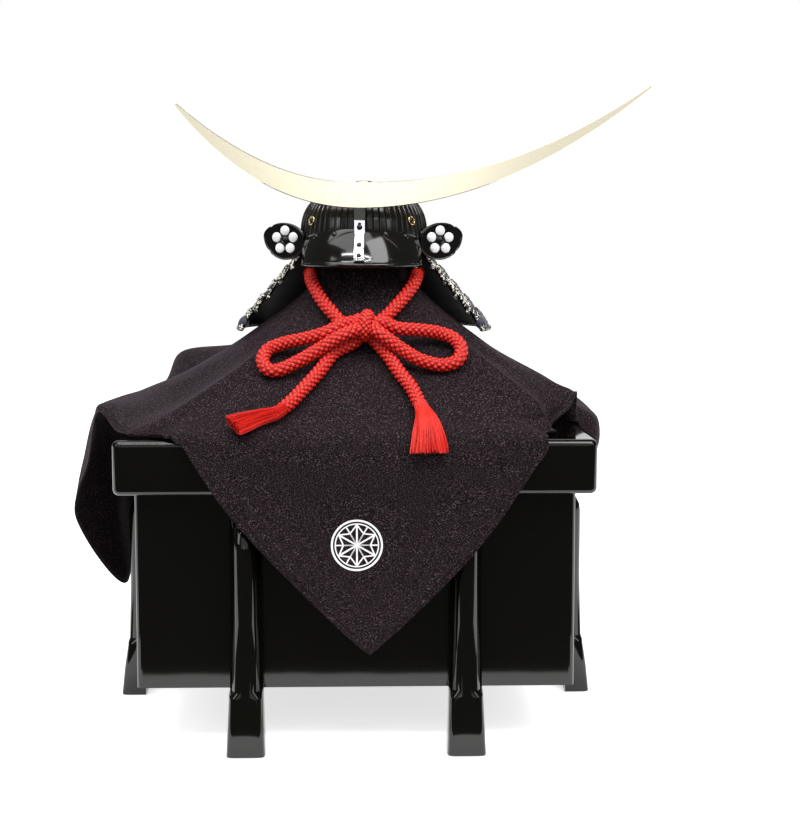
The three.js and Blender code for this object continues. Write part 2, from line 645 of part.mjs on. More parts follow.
function crestHolder() {
  const foot = bowlBase + holderFoot;
  const plate = new THREE.BoxGeometry(holderWidth, holderThickness, holderHeight);
  plate.translate(0, holderBack - holderThickness / 2, foot + holderHeight / 2);
  const pinLevel = foot + 5;
  const pinStart = -bowlLength * (bowlRadius(pinLevel, bowlHalfWidth, bowlTop) + ribHeight) - seatGap;
  const pinLength = pinStart - holderBack + holderThickness / 2;
  const pin = new THREE.CylinderGeometry(1.5, 1.5, pinLength, 10);
  pin.translate(0, pinStart - pinLength / 2, pinLevel);
  const rivet = new THREE.SphereGeometry(1.3, 8, 6).translate(0, holderBack - holderThickness, foot + 3);
  return joined([plate, pin, rivet]);
}

// Half of the crescent's outline lies on each side of the holder. Both edges leave the middle level and
// bend up to a blunt tip.
function crescent() {
  const low = bowlBase + crestBottom;
  const high = low + crestBand;
  const blunt = crestTipWidth / 2;
  const shape = new THREE.Shape();
  const rightTip = low + crestRightRise;
  const leftTip = low + crestLeftRise;
  shape.moveTo(0, low);
  shape.quadraticCurveTo(0.5 * crestRightReach, low, crestRightReach + 0.5 * blunt, rightTip - blunt);
  shape.quadraticCurveTo(crestRightReach + 2 * blunt, rightTip + 0.6 * blunt, crestRightReach - blunt, rightTip);
  shape.quadraticCurveTo(0.52 * crestRightReach, high, 0.05 * crestRightReach, high);
  shape.lineTo(-0.03 * crestLeftReach, high);
  shape.quadraticCurveTo(-0.5 * crestLeftReach, high, -crestLeftReach + blunt, leftTip);
  shape.quadraticCurveTo(-crestLeftReach - 2 * blunt, leftTip + 0.6 * blunt, -crestLeftReach - 0.5 * blunt, leftTip - blunt);
  shape.quadraticCurveTo(-0.56 * crestLeftReach, low, 0, low);
  const geometry = new THREE.ExtrudeGeometry(shape, { depth: crestThickness, bevelEnabled: false, curveSegments: 14 });
  const back = holderBack - holderThickness - seatGap;
  return geometry.rotateX(Math.PI / 2).translate(0, back, 0);
}

// Turnbacks. The outline is an ear-shaped leaf: across runs from the inner edge outwards.

function turnbackOutline() {
  const w = turnbackWidth;
  const h = turnbackHeight;
  const shape = new THREE.Shape();
  shape.moveTo(0, 0.3 * h);
  shape.lineTo(0, 0.7 * h);
  shape.quadraticCurveTo(0.2 * w, h, 0.5 * w, h);
  shape.quadraticCurveTo(0.7 * w, h, 0.79 * w, 0.91 * h);
  shape.quadraticCurveTo(0.8 * w, 0.88 * h, 0.84 * w, 0.9 * h);
  shape.quadraticCurveTo(1.02 * w, 0.78 * h, w, 0.6 * h);
  shape.quadraticCurveTo(0.97 * w, 0.34 * h, 0.85 * w, 0.24 * h);
  shape.quadraticCurveTo(0.83 * w, 0.21 * h, 0.82 * w, 0.17 * h);
  shape.quadraticCurveTo(0.62 * w, -0.02 * h, 0.42 * w, 0);
  shape.quadraticCurveTo(0.12 * w, 0.04 * h, 0, 0.3 * h);
  return shape;
}

const lameEndRadius = lameTopRadius + lameThickness + (lameSlant * (guardTop - turnbackFoot)) / lameHeight;
const lameEnd = Math.PI - radians(lameHalfAngle);
const turnbackRise = (lameEndRadius * Math.sin(lameEnd) - turnbackSide) * Math.tan(radians(turnbackLean));
const turnbackY = -bowlLength * lameEndRadius * Math.cos(lameEnd) - turnbackRise - turnbackThickness - seatGap;

function placeTurnback(made, side) {
  made.position.set(side * turnbackSide, turnbackY, bowlBase + turnbackFoot);
  made.rotation.z = side * radians(turnbackLean);
  return made;
}

function turnback(side) {
  const depth = turnbackThickness;
  const geometry = new THREE.ExtrudeGeometry(turnbackOutline(), { depth, bevelEnabled: false, curveSegments: 5 });
  geometry.rotateX(Math.PI / 2).translate(0, turnbackThickness, 0);
  const solid = side > 0 ? toSolid(geometry) : toSolid(geometry).mirror([1, 0, 0]);
  const name = side > 0 ? "turnback_right" : "turnback_left";
  return placeTurnback(mesh(name, toGeometry(solid), materials.lacquer), side);
}

// A five-petal blossom in relief, its back against the turnback's front face.
function blossom(side) {
  const domed = (radius, height) => turned([
    [0, 0], [radius, 0], [0.85 * radius, 0.7 * height], [0, height],
  ], 9);
  const petals = range(5).map((i) => {
    const angle = radians(90 + 72 * i);
    const petal = domed(petalRadius, blossomHeight);
    return petal.translate(petalRing * Math.cos(angle), petalRing * Math.sin(angle), 0);
  });
  const heart = domed(petalRing - petalRadius + 0.5, 1.5 * blossomHeight);
  const flower = joined([heart, ...petals]);
  flower.rotateX(Math.PI / 2).translate(side * 0.47 * turnbackWidth, -seatGap, 0.53 * turnbackHeight);
  const name = side > 0 ? "blossom_right" : "blossom_left";
  return placeTurnback(mesh(name, flower, materials.silver), side);
}

// Neck guard: curved plates that step outwards and down round the back of the helmet.

function lame(number) {
  const top = bowlBase + guardTop - number * lameStepDown;
  const radius = lameTopRadius + number * lameStepOut;
  const height = number === lameCount - 1 ? lowLameHeight : lameHeight;
  const slant = (lameSlant * height) / lameHeight;
  const half = radians(lameHalfAngle);
  const wall = lameThickness;
  const sections = range(21).map((i) => {
    const angle = Math.PI + mix(-half, half, i / 20);
    const at = (r, z) => point(r * Math.sin(angle), -bowlLength * r * Math.cos(angle), z);
    return [
      at(radius, top),
      at(radius + wall, top),
      at(radius + slant + wall, top - height),
      at(radius + slant, top - height),
    ];
  });
  return mesh(`neck_lame_${number + 1}`, loft(sections), materials.lame);
}

// Chin cord

function knotBody(grow) {
  const ball = new THREE.SphereGeometry(1, 12, 8);
  ball.scale(...knotRadii.map((radius) => radius + grow));
  return ball.rotateX(radians(clothSlope)).translate(...knotCentre);
}

function cordTube(route, steps) {
  const path = new THREE.CatmullRomCurve3(route.map((p) => point(...p)), false, "centripetal");
  const corners = range(cordSides).map((i) => {
    const angle = (2 * Math.PI * i) / cordSides;
    return new THREE.Vector2(Math.cos(angle), Math.sin(angle)).multiplyScalar(cordDiameter / 2);
  });
  return new THREE.ExtrudeGeometry(new THREE.Shape(corners), { extrudePath: path, steps });
}

function cord(name, route, steps) {
  return mesh(name, cut(cordTube(route, steps), knotBody(seatGap)), materials.cord);
}

// A tassel: a bound head with a fan of locks fused to it.
function tassel(side) {
  const route = tasselRoutes[side].map((p) => point(...p));
  const path = new THREE.CatmullRomCurve3(route, false, "centripetal");
  const head = new THREE.SphereGeometry(tasselHeadRadius, 10, 7).translate(...route[0].toArray());
  const towards = path.getTangent(0);
  const across = towards.clone().cross(point(0, 0, 1)).normalize();
  const locks = range(tasselLocks).map((i) => {
    const share = -1 + (2 * i) / (tasselLocks - 1);
    const stations = range(4).map((j) => {
      const along = j / 3;
      const spread = (share * mix(tasselTopWidth, tasselTipWidth[side], along)) / 2;
      const centre = path.getPoint(along * (1 - 0.06 * (i % 2))).addScaledVector(across, spread);
      const forward = path.getTangent(along);
      const up = across.clone().cross(forward).normalize();
      const radius = tasselLockRadius * (j === 3 ? 0.55 : 1);
      return range(5).map((k) => {
        const angle = (2 * Math.PI * k) / 5;
        return centre.clone().addScaledVector(across, radius * Math.cos(angle)).addScaledVector(up, radius * Math.sin(angle));
      });
    });
    return loft(stations);
  });
  const whole = joined([head, ...locks]);
  return mesh(`tassel_${side}`, whole, materials.cord);
}

function helmet() {
  const group = new THREE.Group();
  group.add(
    mesh("bowl", bowl(), materials.iron),
    mesh("crown_ring", crownRing(), materials.gold),
    mesh("peak", peak(), materials.lacquer),
    mesh("peak_strip", peakStrip(), materials.bright),
    mesh("crest_holder", crestHolder(), materials.iron),
    mesh("crescent_crest", crescent(), materials.gold),
    ...[-1, 1].flatMap((side) => [turnback(side), blossom(side)]),
    ...range(lameCount).map(lame),
  );
  group.position.x = helmetShift;
  group.rotation.z = radians(-helmetTurn);
  return group;
}

function chinCord() {
  const group = new THREE.Group();
  group.add(mesh("bow_knot", knotBody(0), materials.cord), cord("chin_cord", chinRoute, 26));
  for (const side of ["left", "right"]) {
    group.add(
      cord(`bow_loop_${side}`, loopRoutes[side], 16),
      cord(`bow_end_${side}`, endRoutes[side], 8),
      tassel(side),
    );
  }
  return group;
}

function stand() {
  const group = new THREE.Group();
  const support = mesh("helmet_post", post(), materials.board);
  support.position.x = helmetShift;
  group.add(
    mesh("box_body", boxBody(), materials.lacquer),
    mesh("box_lid", boxLid(), materials.lacquer),
    ...legs(),
    support,
    drape(),
  );
  return group;
}

// The origin is the middle of the foot of the whole thing, without the cord.
const solids = new THREE.Group();
solids.add(stand(), helmet());
const extent = new THREE.Box3().setFromObject(solids, true);
const model = new THREE.Group();
model.add(solids, chinCord());
const centre = extent.getCenter(point(0, 0, 0));
model.position.set(-centre.x, -centre.y, -extent.min.z);

export default model;
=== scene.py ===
"""A quarter-size samurai helmet on a cloth-draped display box: the dressed model, its camera and its lights.

Sizes are in millimetres in the box's own frame, where x = 0 and y = 0 are the middle of the lid, z = 0 is
the floor and the front faces -Y. place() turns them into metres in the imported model's frame.
"""

import math

import bpy
import numpy as np
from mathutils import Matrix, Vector
from mathutils.bvhtree import BVHTree


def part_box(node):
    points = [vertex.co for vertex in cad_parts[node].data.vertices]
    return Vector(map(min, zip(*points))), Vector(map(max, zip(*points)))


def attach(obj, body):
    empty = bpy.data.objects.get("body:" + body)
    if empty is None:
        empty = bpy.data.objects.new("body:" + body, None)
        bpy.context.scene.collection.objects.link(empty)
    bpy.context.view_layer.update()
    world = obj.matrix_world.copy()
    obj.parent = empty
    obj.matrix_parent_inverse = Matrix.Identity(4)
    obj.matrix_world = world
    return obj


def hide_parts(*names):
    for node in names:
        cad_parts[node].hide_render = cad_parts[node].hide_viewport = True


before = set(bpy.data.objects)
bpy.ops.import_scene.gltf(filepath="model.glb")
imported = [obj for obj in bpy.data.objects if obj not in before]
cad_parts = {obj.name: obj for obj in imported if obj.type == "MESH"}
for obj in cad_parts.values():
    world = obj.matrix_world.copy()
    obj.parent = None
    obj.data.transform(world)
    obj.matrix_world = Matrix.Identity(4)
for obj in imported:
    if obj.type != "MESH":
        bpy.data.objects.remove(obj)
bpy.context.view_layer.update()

MM = 0.001
lid_low, lid_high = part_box("box_lid")
lid_middle = (lid_low + lid_high) / 2
BOX_ORIGIN = np.array([lid_middle.x, lid_middle.y, 0]) / MM
LID_WIDTH, LID_DEPTH = (lid_high.x - lid_low.x) / MM, (lid_high.y - lid_low.y) / MM
LID_BOTTOM, LID_TOP = lid_low.z / MM, lid_high.z / MM


def place(points):
    return (np.asarray(points, float).reshape(-1, 3) + BOX_ORIGIN) * MM


# Camera

CAMERA_PLACE = (0, -911.5, 253)
CAMERA_PITCH = 5.64  # degrees down
CAMERA_YAW = 1.59  # degrees towards +X
FOCAL_PIXELS = 1610
PHOTO_LONG_SIDE = 816
SENSOR = 36

camera = bpy.data.objects.new("camera", bpy.data.cameras.new("camera"))
camera.data.sensor_width = SENSOR
camera.data.lens = FOCAL_PIXELS * SENSOR / PHOTO_LONG_SIDE
camera.data.clip_start = 0.05
camera.location = place(CAMERA_PLACE)[0]
camera.rotation_euler = (math.radians(90 - CAMERA_PITCH), 0, math.radians(-CAMERA_YAW))
bpy.context.scene.collection.objects.link(camera)
bpy.context.scene.camera = camera


# Materials

def material(name, colour, roughness, metallic=0.0, specular=0.5, **sockets):
    made = bpy.data.materials.new(name)
    made.use_nodes = True
    shader = made.node_tree.nodes["Principled BSDF"]
    shader.inputs["Base Color"].default_value = (*colour, 1)
    shader.inputs["Roughness"].default_value = roughness
    shader.inputs["Metallic"].default_value = metallic
    shader.inputs["Specular IOR Level"].default_value = specular
    for socket, value in sockets.items():
        shader.inputs[socket.replace("_", " ")].default_value = value
    return made


def node(made, kind, **settings):
    added = made.node_tree.nodes.new(kind)
    for key, value in settings.items():
        if key in added.inputs:
            added.inputs[key].default_value = value
        else:
            setattr(added, key, value)
    return added


def link(made, source, output, target, socket):
    made.node_tree.links.new(source.outputs[output], target.inputs[socket])


def ramp(made, source, output, stops):
    """A colour ramp fed by a value: stops are (place, colour)."""
    added = node(made, "ShaderNodeValToRGB")
    link(made, source, output, added, "Fac")
    points = added.color_ramp.elements
    while len(points) < len(stops):
        points.new(0.5)
    for point, (at, colour) in zip(points, stops):
        point.position = at
        point.color = (*colour, 1)
    return added


def add_bump(made, source, output, strength, distance):
    bump = node(made, "ShaderNodeBump")
    bump.inputs["Strength"].default_value = strength
    bump.inputs["Distance"].default_value = distance
    link(made, source, output, bump, "Height")
    link(made, bump, "Normal", made.node_tree.nodes["Principled BSDF"], "Normal")
    return bump


def crepe():
    """Aubergine crepe: a fine pebbled grain whose brightest specks are painted lilac glints, and painted shade of a
    rolled hem along its edge.
    """
    made = material("crepe", (0.03, 0.017, 0.025), 0.8, specular=0.1, Sheen_Weight=0.05, Sheen_Roughness=0.4)
    shader = made.node_tree.nodes["Principled BSDF"]
    shader.inputs["Sheen Tint"].default_value = (0.8, 0.6, 0.75, 1)
    place_node = node(made, "ShaderNodeTexCoord")
    stretch = node(made, "ShaderNodeMapping")
    stretch.inputs["Rotation"].default_value = (0, 0.4, 0)
    stretch.inputs["Scale"].default_value = (1500, 700, 2500)
    link(made, place_node, "Object", stretch, "Vector")
    grain = node(made, "ShaderNodeTexNoise", Scale=1.0, Detail=1.0, Roughness=0.5)
    link(made, stretch, "Vector", grain, "Vector")
    # Grain tones: the top stop (0.78) paints lilac glints, a painted highlight on the pebbles.
    tone = ramp(made, grain, "Fac", [
        (0.38, (0.0015, 0.0007, 0.0009)), (0.52, (0.0068, 0.0035, 0.0047)), (0.64, (0.031, 0.018, 0.023)),
        (0.78, (0.12, 0.085, 0.10)),
    ])
    hem = node(made, "ShaderNodeAttribute", attribute_name="from_hem")
    # Painted shade of a rolled hem: a little darker at the very edge, and a dark line where the fold lies about 4 mm
    # in.
    line = ramp(made, hem, "Fac", [
        (0.0, (0.55, 0.55, 0.55)), (0.03, (1, 1, 1)), (0.22, (1, 1, 1)), (0.26, (0.35, 0.35, 0.35)), (0.3, (1, 1, 1)),
    ])
    both = node(made, "ShaderNodeMix", data_type="RGBA", blend_type="MULTIPLY")
    both.inputs["Factor"].default_value = 1
    link(made, tone, "Color", both, 6)
    link(made, line, "Color", both, 7)
    made.node_tree.links.new(both.outputs[2], shader.inputs["Base Color"])
    add_bump(made, grain, "Fac", 0.5, 0.0004)
    return made


def silk():
    """Red braided silk: fine threads, with painted shade between the stitches and on the tassels' inner threads."""
    made = material("red_silk", (0.6, 0.02, 0.015), 0.4, specular=0.3, Sheen_Weight=0.02, Sheen_Roughness=0.4)
    made.node_tree.nodes["Principled BSDF"].inputs["Sheen Tint"].default_value = (1, 0.5, 0.45, 1)
    raised = node(made, "ShaderNodeAttribute", attribute_name="raised")
    # Painted shade: low values of raised (the grooves between stitches, and the tassels' inner threads and core) turn
    # deep dark red.
    tone = ramp(made, raised, "Fac", [
        (0.0, (0.19, 0.003, 0.0015)), (0.45, (0.45, 0.010, 0.006)), (1.0, (0.70, 0.036, 0.024)),
    ])
    link(made, tone, "Color", made.node_tree.nodes["Principled BSDF"], "Base Color")
    place_node = node(made, "ShaderNodeTexCoord")
    grain = node(made, "ShaderNodeTexNoise", Scale=2600.0, Detail=2.0)
    link(made, place_node, "Object", grain, "Vector")
    add_bump(made, grain, "Fac", 0.4, 0.0002)
    return made


def speckled():
    """A flat braid of white, black and navy threads."""
    made = material("speckled_braid", (0.3, 0.3, 0.3), 0.6)
    place_node = node(made, "ShaderNodeTexCoord")
    cells = node(made, "ShaderNodeTexVoronoi", Scale=1250.0)
    link(made, place_node, "Object", cells, "Vector")
    split = node(made, "ShaderNodeSeparateColor")
    link(made, cells, "Color", split, "Color")
    tone = ramp(made, split, "Red", [
        (0.0, (0.62, 0.60, 0.52)), (0.36, (0.62, 0.60, 0.52)), (0.37, (0.006, 0.006, 0.007)), (1.0, (0.008, 0.010, 0.02)),
    ])
    tone.color_ramp.interpolation = "CONSTANT"
    link(made, tone, "Color", made.node_tree.nodes["Principled BSDF"], "Base Color")
    add_bump(made, cells, "Distance", 0.5, 0.0004)
    return made


def lacquer(name, colour, roughness, specular=0.5):
    """Black lacquer with a very slight waviness in its gloss."""
    made = material(name, colour, roughness, specular=specular)
    place_node = node(made, "ShaderNodeTexCoord")
    waves = node(made, "ShaderNodeTexNoise", Scale=35.0, Detail=1.0)
    link(made, place_node, "Object", waves, "Vector")
    add_bump(made, waves, "Fac", 0.05, 0.001)
    return made


BLACK = lacquer("black_gloss", (0.0016, 0.0015, 0.0009), 0.06, 0.45)
PLATE_BLACK = lacquer("plate_gloss", (0.004, 0.0038, 0.0034), 0.1, 0.45)
DULL_BLACK = material("dull_black", (0.0022, 0.0021, 0.0021), 0.5, specular=0.02)
BOWL_BLACK = lacquer("bowl_gloss", (0.006, 0.0056, 0.004), 0.2, 0.45)
GOLD = material("pale_gold", (1.0, 0.935, 0.72), 0.2, metallic=1.0)
BRASS = material("brass", (0.85, 0.62, 0.28), 0.25, metallic=1.0)
BRIGHT = material("bright_metal", (0.82, 0.83, 0.87), 0.14, metallic=1.0)
WHITE = material("silver_white", (0.84, 0.84, 0.86), 0.35)
NAVY = material("navy_lace", (0.010, 0.013, 0.032), 0.6, Sheen_Weight=0.3)
PRINT = material("white_print", (0.72, 0.71, 0.72), 0.7)
WOOD = material("plain_wood", (0.35, 0.23, 0.13), 0.6)
CREPE, SILK, SPECKLED = crepe(), silk(), speckled()


# Making meshes

HELMET_SHIFT = 5
HELMET_TURN = -3.5  # degrees
SMOOTH_ANGLE = 38  # degrees


def on_helmet(points):
    """From the helmet's own frame, where it faces -Y, to the box's frame."""
    p = np.asarray(points, float).reshape(-1, 3)
    c, s = math.cos(math.radians(HELMET_TURN)), math.sin(math.radians(HELMET_TURN))
    return np.stack([c * p[:, 0] - s * p[:, 1] + HELMET_SHIFT, s * p[:, 0] + c * p[:, 1], p[:, 2]], axis=1)


def make(name, points, faces, look, nodes=(), helmet=False, raised=None):
    if helmet:
        points = on_helmet(points)
    data = bpy.data.meshes.new(name)
    data.from_pydata(place(points).tolist(), [], faces)
    data.validate()
    data.polygons.foreach_set("use_smooth", [True] * len(data.polygons))
    data.set_sharp_from_angle(angle=math.radians(SMOOTH_ANGLE))
    data.materials.append(look)
    if raised is not None:
        # raised feeds the silk's colour ramp, where low values are painted shade.
        data.attributes.new("raised", "FLOAT", "POINT").data.foreach_set("value", np.asarray(raised, float))
    data.update()
    made = bpy.data.objects.new(name, data)
    bpy.context.scene.collection.objects.link(made)
    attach(made, "root")
    if nodes:
        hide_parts(*nodes)
    return made


def grid_faces(rows, columns, closed=False, start=0):
    """Faces of a grid that is stored row by row. closed joins the last column to the first."""
    faces = []
    for r in range(rows - 1):
        for c in range(columns if closed else columns - 1):
            d = (c + 1) % columns
            a = start + r * columns
            b = a + columns
            faces.append((a + c, a + d, b + d, b + c))
    return faces


def loft(rings):
    """Points and outward faces of a closed body through rings of equal length, its ends capped by fans."""
    rings = np.asarray(rings, float)
    count, size = rings.shape[:2]
    points = np.concatenate([rings.reshape(-1, 3), [rings[0].mean(0), rings[-1].mean(0)]])
    faces = grid_faces(count, size, closed=True)
    first, last = len(points) - 2, len(points) - 1
    faces += [(first, (i + 1) % size, i) for i in range(size)]
    faces += [(last, (count - 1) * size + i, (count - 1) * size + (i + 1) % size) for i in range(size)]
    triangles = np.array([(f[0], f[k], f[k + 1]) for f in faces for k in range(1, len(f) - 1)])
    a, b, c = (points[triangles[:, k]] for k in range(3))
    if np.einsum("ij,ij->i", a, np.cross(b, c)).sum() < 0:
        faces = [f[::-1] for f in faces]
    return points, faces


def merged(*bodies):
    """Several (points, faces) as one."""
    points, faces, start = [], [], 0
    for body_points, body_faces in bodies:
        points.append(np.asarray(body_points, float).reshape(-1, 3))
        faces += [tuple(i + start for i in f) for f in body_faces]
        start += len(points[-1])
    return np.concatenate(points), faces


def dome(centre, radius, height, towards, around=16, rows=5):
    """A rivet head on a plane through centre whose normal is towards."""
    axis = Vector(towards).normalized()
    side = axis.orthogonal().normalized()
    other = axis.cross(side)
    rings = []
    for r in range(rows):
        turn = 0.5 * math.pi * r / (rows - 0.5)
        rings.append([
            Vector(centre) + axis * (height * math.sin(turn))
            + (side * math.cos(a) + other * math.sin(a)) * (radius * math.cos(turn))
            for a in (2 * math.pi * k / around for k in range(around))
        ])
    return loft([[tuple(p) for p in ring] for ring in rings])


def curve_points(points, steps):
    """A centripetal Catmull-Rom curve through the points, with the given number of steps in each span."""
    p = np.asarray(points, float)
    p = np.vstack([2 * p[0] - p[1], p, 2 * p[-1] - p[-2]])
    out = []
    for i, count in enumerate(steps):
        p0, p1, p2, p3 = p[i:i + 4]
        d0, d1, d2 = (max(np.linalg.norm(b - a) ** 0.5, 1e-4) for a, b in ((p0, p1), (p1, p2), (p2, p3)))
        t1 = ((p1 - p0) / d0 - (p2 - p0) / (d0 + d1) + (p2 - p1) / d1) * d1
        t2 = ((p2 - p1) / d1 - (p3 - p1) / (d1 + d2) + (p3 - p2) / d2) * d1
        last = i == len(steps) - 1
        t = (np.arange(count + last) / count)[:, None]
        out.append(p1 + t1 * t + (3 * (p2 - p1) - 2 * t1 - t2) * t ** 2 + (2 * (p1 - p2) + t1 + t2) * t ** 3)
    return np.vstack(out)


def even(points, step):
    """The same line with its points an equal step apart."""
    lengths = np.linalg.norm(np.diff(points, axis=0), axis=1)
    along = np.concatenate([[0], np.cumsum(lengths)])
    at = np.linspace(0, along[-1], int(round(along[-1] / step)) + 1)
    return np.stack([np.interp(at, along, points[:, k]) for k in range(3)], axis=1), along[-1]


def frames(line):
    """Tangent and two sideways directions at each point of a line, turning as little as they can."""
    tangents = np.gradient(line, axis=0)
    tangents /= np.linalg.norm(tangents, axis=1)[:, None]
    side = np.cross(tangents[0], (0, 0, 1))
    sides = []
    for t in tangents:
        side = side - t * np.dot(side, t)
        side = side / np.linalg.norm(side)
        sides.append(side)
    sides = np.array(sides)
    return tangents, sides, np.cross(tangents, sides)


# Chin cord: a round braid. The routes are those of the model's cord.

CORD = 7.0
BRAID_STRANDS = 6  # in each direction
STITCH = 3.5  # length of a stitch
STITCH_DEPTH = 0.9
CORD_STEP = 0.4
CORD_AROUND = 60

CHIN_ROUTE = [
    (3.2, -56.2, 211.8), (-1.2, -52.0, 210.8), (-4.9, -50.0, 212.2), (-8.2, -47.5, 214.6), (-12.0, -43.0, 218.4),
    (-17.2, -36.4, 224.2), (-21.3, -28.8, 230.4), (-24.0, -20.5, 235.2), (-25.0, -8.5, 239.2), (-25.8, 1.1, 239.7),
    (-23.9, 10.5, 239.8), (-19.2, 19.2, 240.0), (-12.3, 25.7, 239.6), (-3.5, 29.9, 239.4), (5.0, 31.1, 239.3),
    (14.6, 29.6, 239.3), (23.2, 25.1, 239.4), (30.1, 18.2, 239.5), (34.4, 9.5, 239.7), (35.9, 0.0, 239.9),
    (35.0, -8.6, 239.6), (33.6, -20.7, 237.0), (31.8, -27.8, 233.6), (28.4, -33.6, 229.2), (21.4, -42.0, 221.6),
    (15.8, -47.6, 216.4), (11.8, -51.4, 213.9), (8.2, -55.6, 212.6),
]
LOOP_ROUTES = {
    "left": [
        (0.8, -59.8, 213.4), (-3.4, -60.2, 214.3), (-9.5, -62.0, 212.0), (-16.0, -62.9, 209.0),
        (-26.1, -60.4, 206.0), (-38.1, -56.8, 203.2), (-46.0, -57.5, 200.0), (-48.8, -62.8, 195.6),
        (-46.8, -69.2, 191.0), (-41.5, -72.1, 189.8), (-30.7, -71.0, 194.2), (-20.7, -69.8, 199.8),
        (-11.0, -69.6, 205.8), (-4.2, -68.6, 209.4), (1.5, -63.9, 211.2),
    ],
    "right": [
        (9.8, -59.8, 213.4), (14.0, -60.2, 214.3), (22.4, -60.8, 211.4), (34.0, -57.7, 210.2),
        (45.0, -55.4, 208.5), (52.4, -58.2, 205.5), (55.9, -63.9, 200.6), (53.5, -70.0, 194.9),
        (46.0, -72.1, 192.6), (34.3, -72.2, 195.2), (25.1, -71.0, 200.4), (17.6, -70.2, 205.8),
        (13.0, -68.8, 209.2), (9.1, -63.9, 211.2),
    ],
}
END_ROUTES = {
    "left": [
        (2.7, -59.2, 208.2), (0.4, -59.6, 204.9), (-4.8, -61.2, 202.0), (-11.0, -64.6, 198.8),
        (-18.6, -74.3, 189.8), (-26.3, -85.4, 181.9), (-32.7, -95.2, 175.8), (-36.9, -101.0, 172.6),
    ],
    "right": [
        (7.9, -59.2, 208.2), (10.2, -59.6, 204.9), (13.4, -62.5, 201.6), (17.5, -68.1, 196.9),
        (22.0, -76.0, 190.3), (28.6, -87.5, 182.3), (32.5, -98.7, 175.0),
    ],
}
TASSEL_ROUTES = {
    "left": [(-36.6, -100.6, 172.8), (-40.1, -105.4, 170.9), (-49.5, -111.2, 169.2), (-61.0, -118.0, 166.0)],
    "right": [
        (32.4, -98.3, 175.3), (34.0, -103.2, 172.2), (35.6, -114.8, 167.6), (36.2, -121.8, 160.5),
        (36.4, -123.8, 152.5),
    ],
}
TASSEL_TIP_WIDTH = {"left": 14.5, "right": 19.0}
TASSEL_FACE = (0, -0.55, 0.84)
TASSEL_THREADS = 420
KNOT = (5.3, -59.4, 212.4)
CLOTH_SLOPE = 43  # degrees, under the knot


def braid(line, radius=CORD / 2, closed=False):
    """A braided tube along an even line: strands wound both ways, which leave staggered diamond stitches."""
    tangents, sides, ups = frames(line)
    turn = np.linspace(0, 2 * math.pi, CORD_AROUND, endpoint=False)
    across = turn / (2 * math.pi) * BRAID_STRANDS
    along = np.arange(len(line))[:, None] * CORD_STEP / STITCH
    # swell shapes the stitches and is also returned to colour the silk: its low values, the grooves, get painted
    # shade.
    swell = np.abs(np.sin(math.pi * (along + across)) * np.sin(math.pi * (along - across))) ** 0.7
    reach = radius + 0.25 - STITCH_DEPTH * (1 - swell)
    ring = sides[:, None] * np.cos(turn)[None, :, None] + ups[:, None] * np.sin(turn)[None, :, None]
    rings = line[:, None] + ring * reach[..., None]
    if closed:
        last = (len(line) - 1) * CORD_AROUND
        faces = grid_faces(len(line), CORD_AROUND, closed=True)
        for c in range(CORD_AROUND):
            d = (c + 1) % CORD_AROUND
            faces.append((last + c, last + d, d, c))
        return rings.reshape(-1, 3), faces, swell.reshape(-1)
    points, faces = loft(rings)
    return points, faces, np.append(swell.reshape(-1), (0.5, 0.5))


def free_cord(name, route):
    line, length = even(curve_points(route, [24] * (len(route) - 1)), CORD_STEP)
    points, faces, raised = braid(line)
    made = make(name, points, faces, SILK, [name], raised=raised)
    return made


def knot():
    """Two turns of cord over the crossing of the loops."""
    slope = math.radians(CLOTH_SLOPE)
    along = np.array([0, math.cos(slope), math.sin(slope)])
    out = np.array([0, -math.sin(slope), math.cos(slope)])
    across = np.array([1.0, 0, 0])
    turns = []
    for shift, tilt, long, high, lift in ((0.4, 9, 5.8, 4.6, 0.4), (-4.6, 20, 4.4, 3.5, -0.9)):
        direction = along * math.cos(math.radians(tilt)) + across * math.sin(math.radians(tilt))
        angles = np.linspace(0, 2 * math.pi, 140, endpoint=False)[:, None]
        ring = (np.array(KNOT) + across * shift + out * lift
                + direction * np.cos(angles) * long + out * np.sin(angles) * high)
        turns.append(braid(ring, closed=True))
    points, faces = merged(*(t[:2] for t in turns))
    raised = np.concatenate([t[2] for t in turns])
    return make("bow_knot_turns", points, faces, SILK, ["bow_knot"], raised=raised)


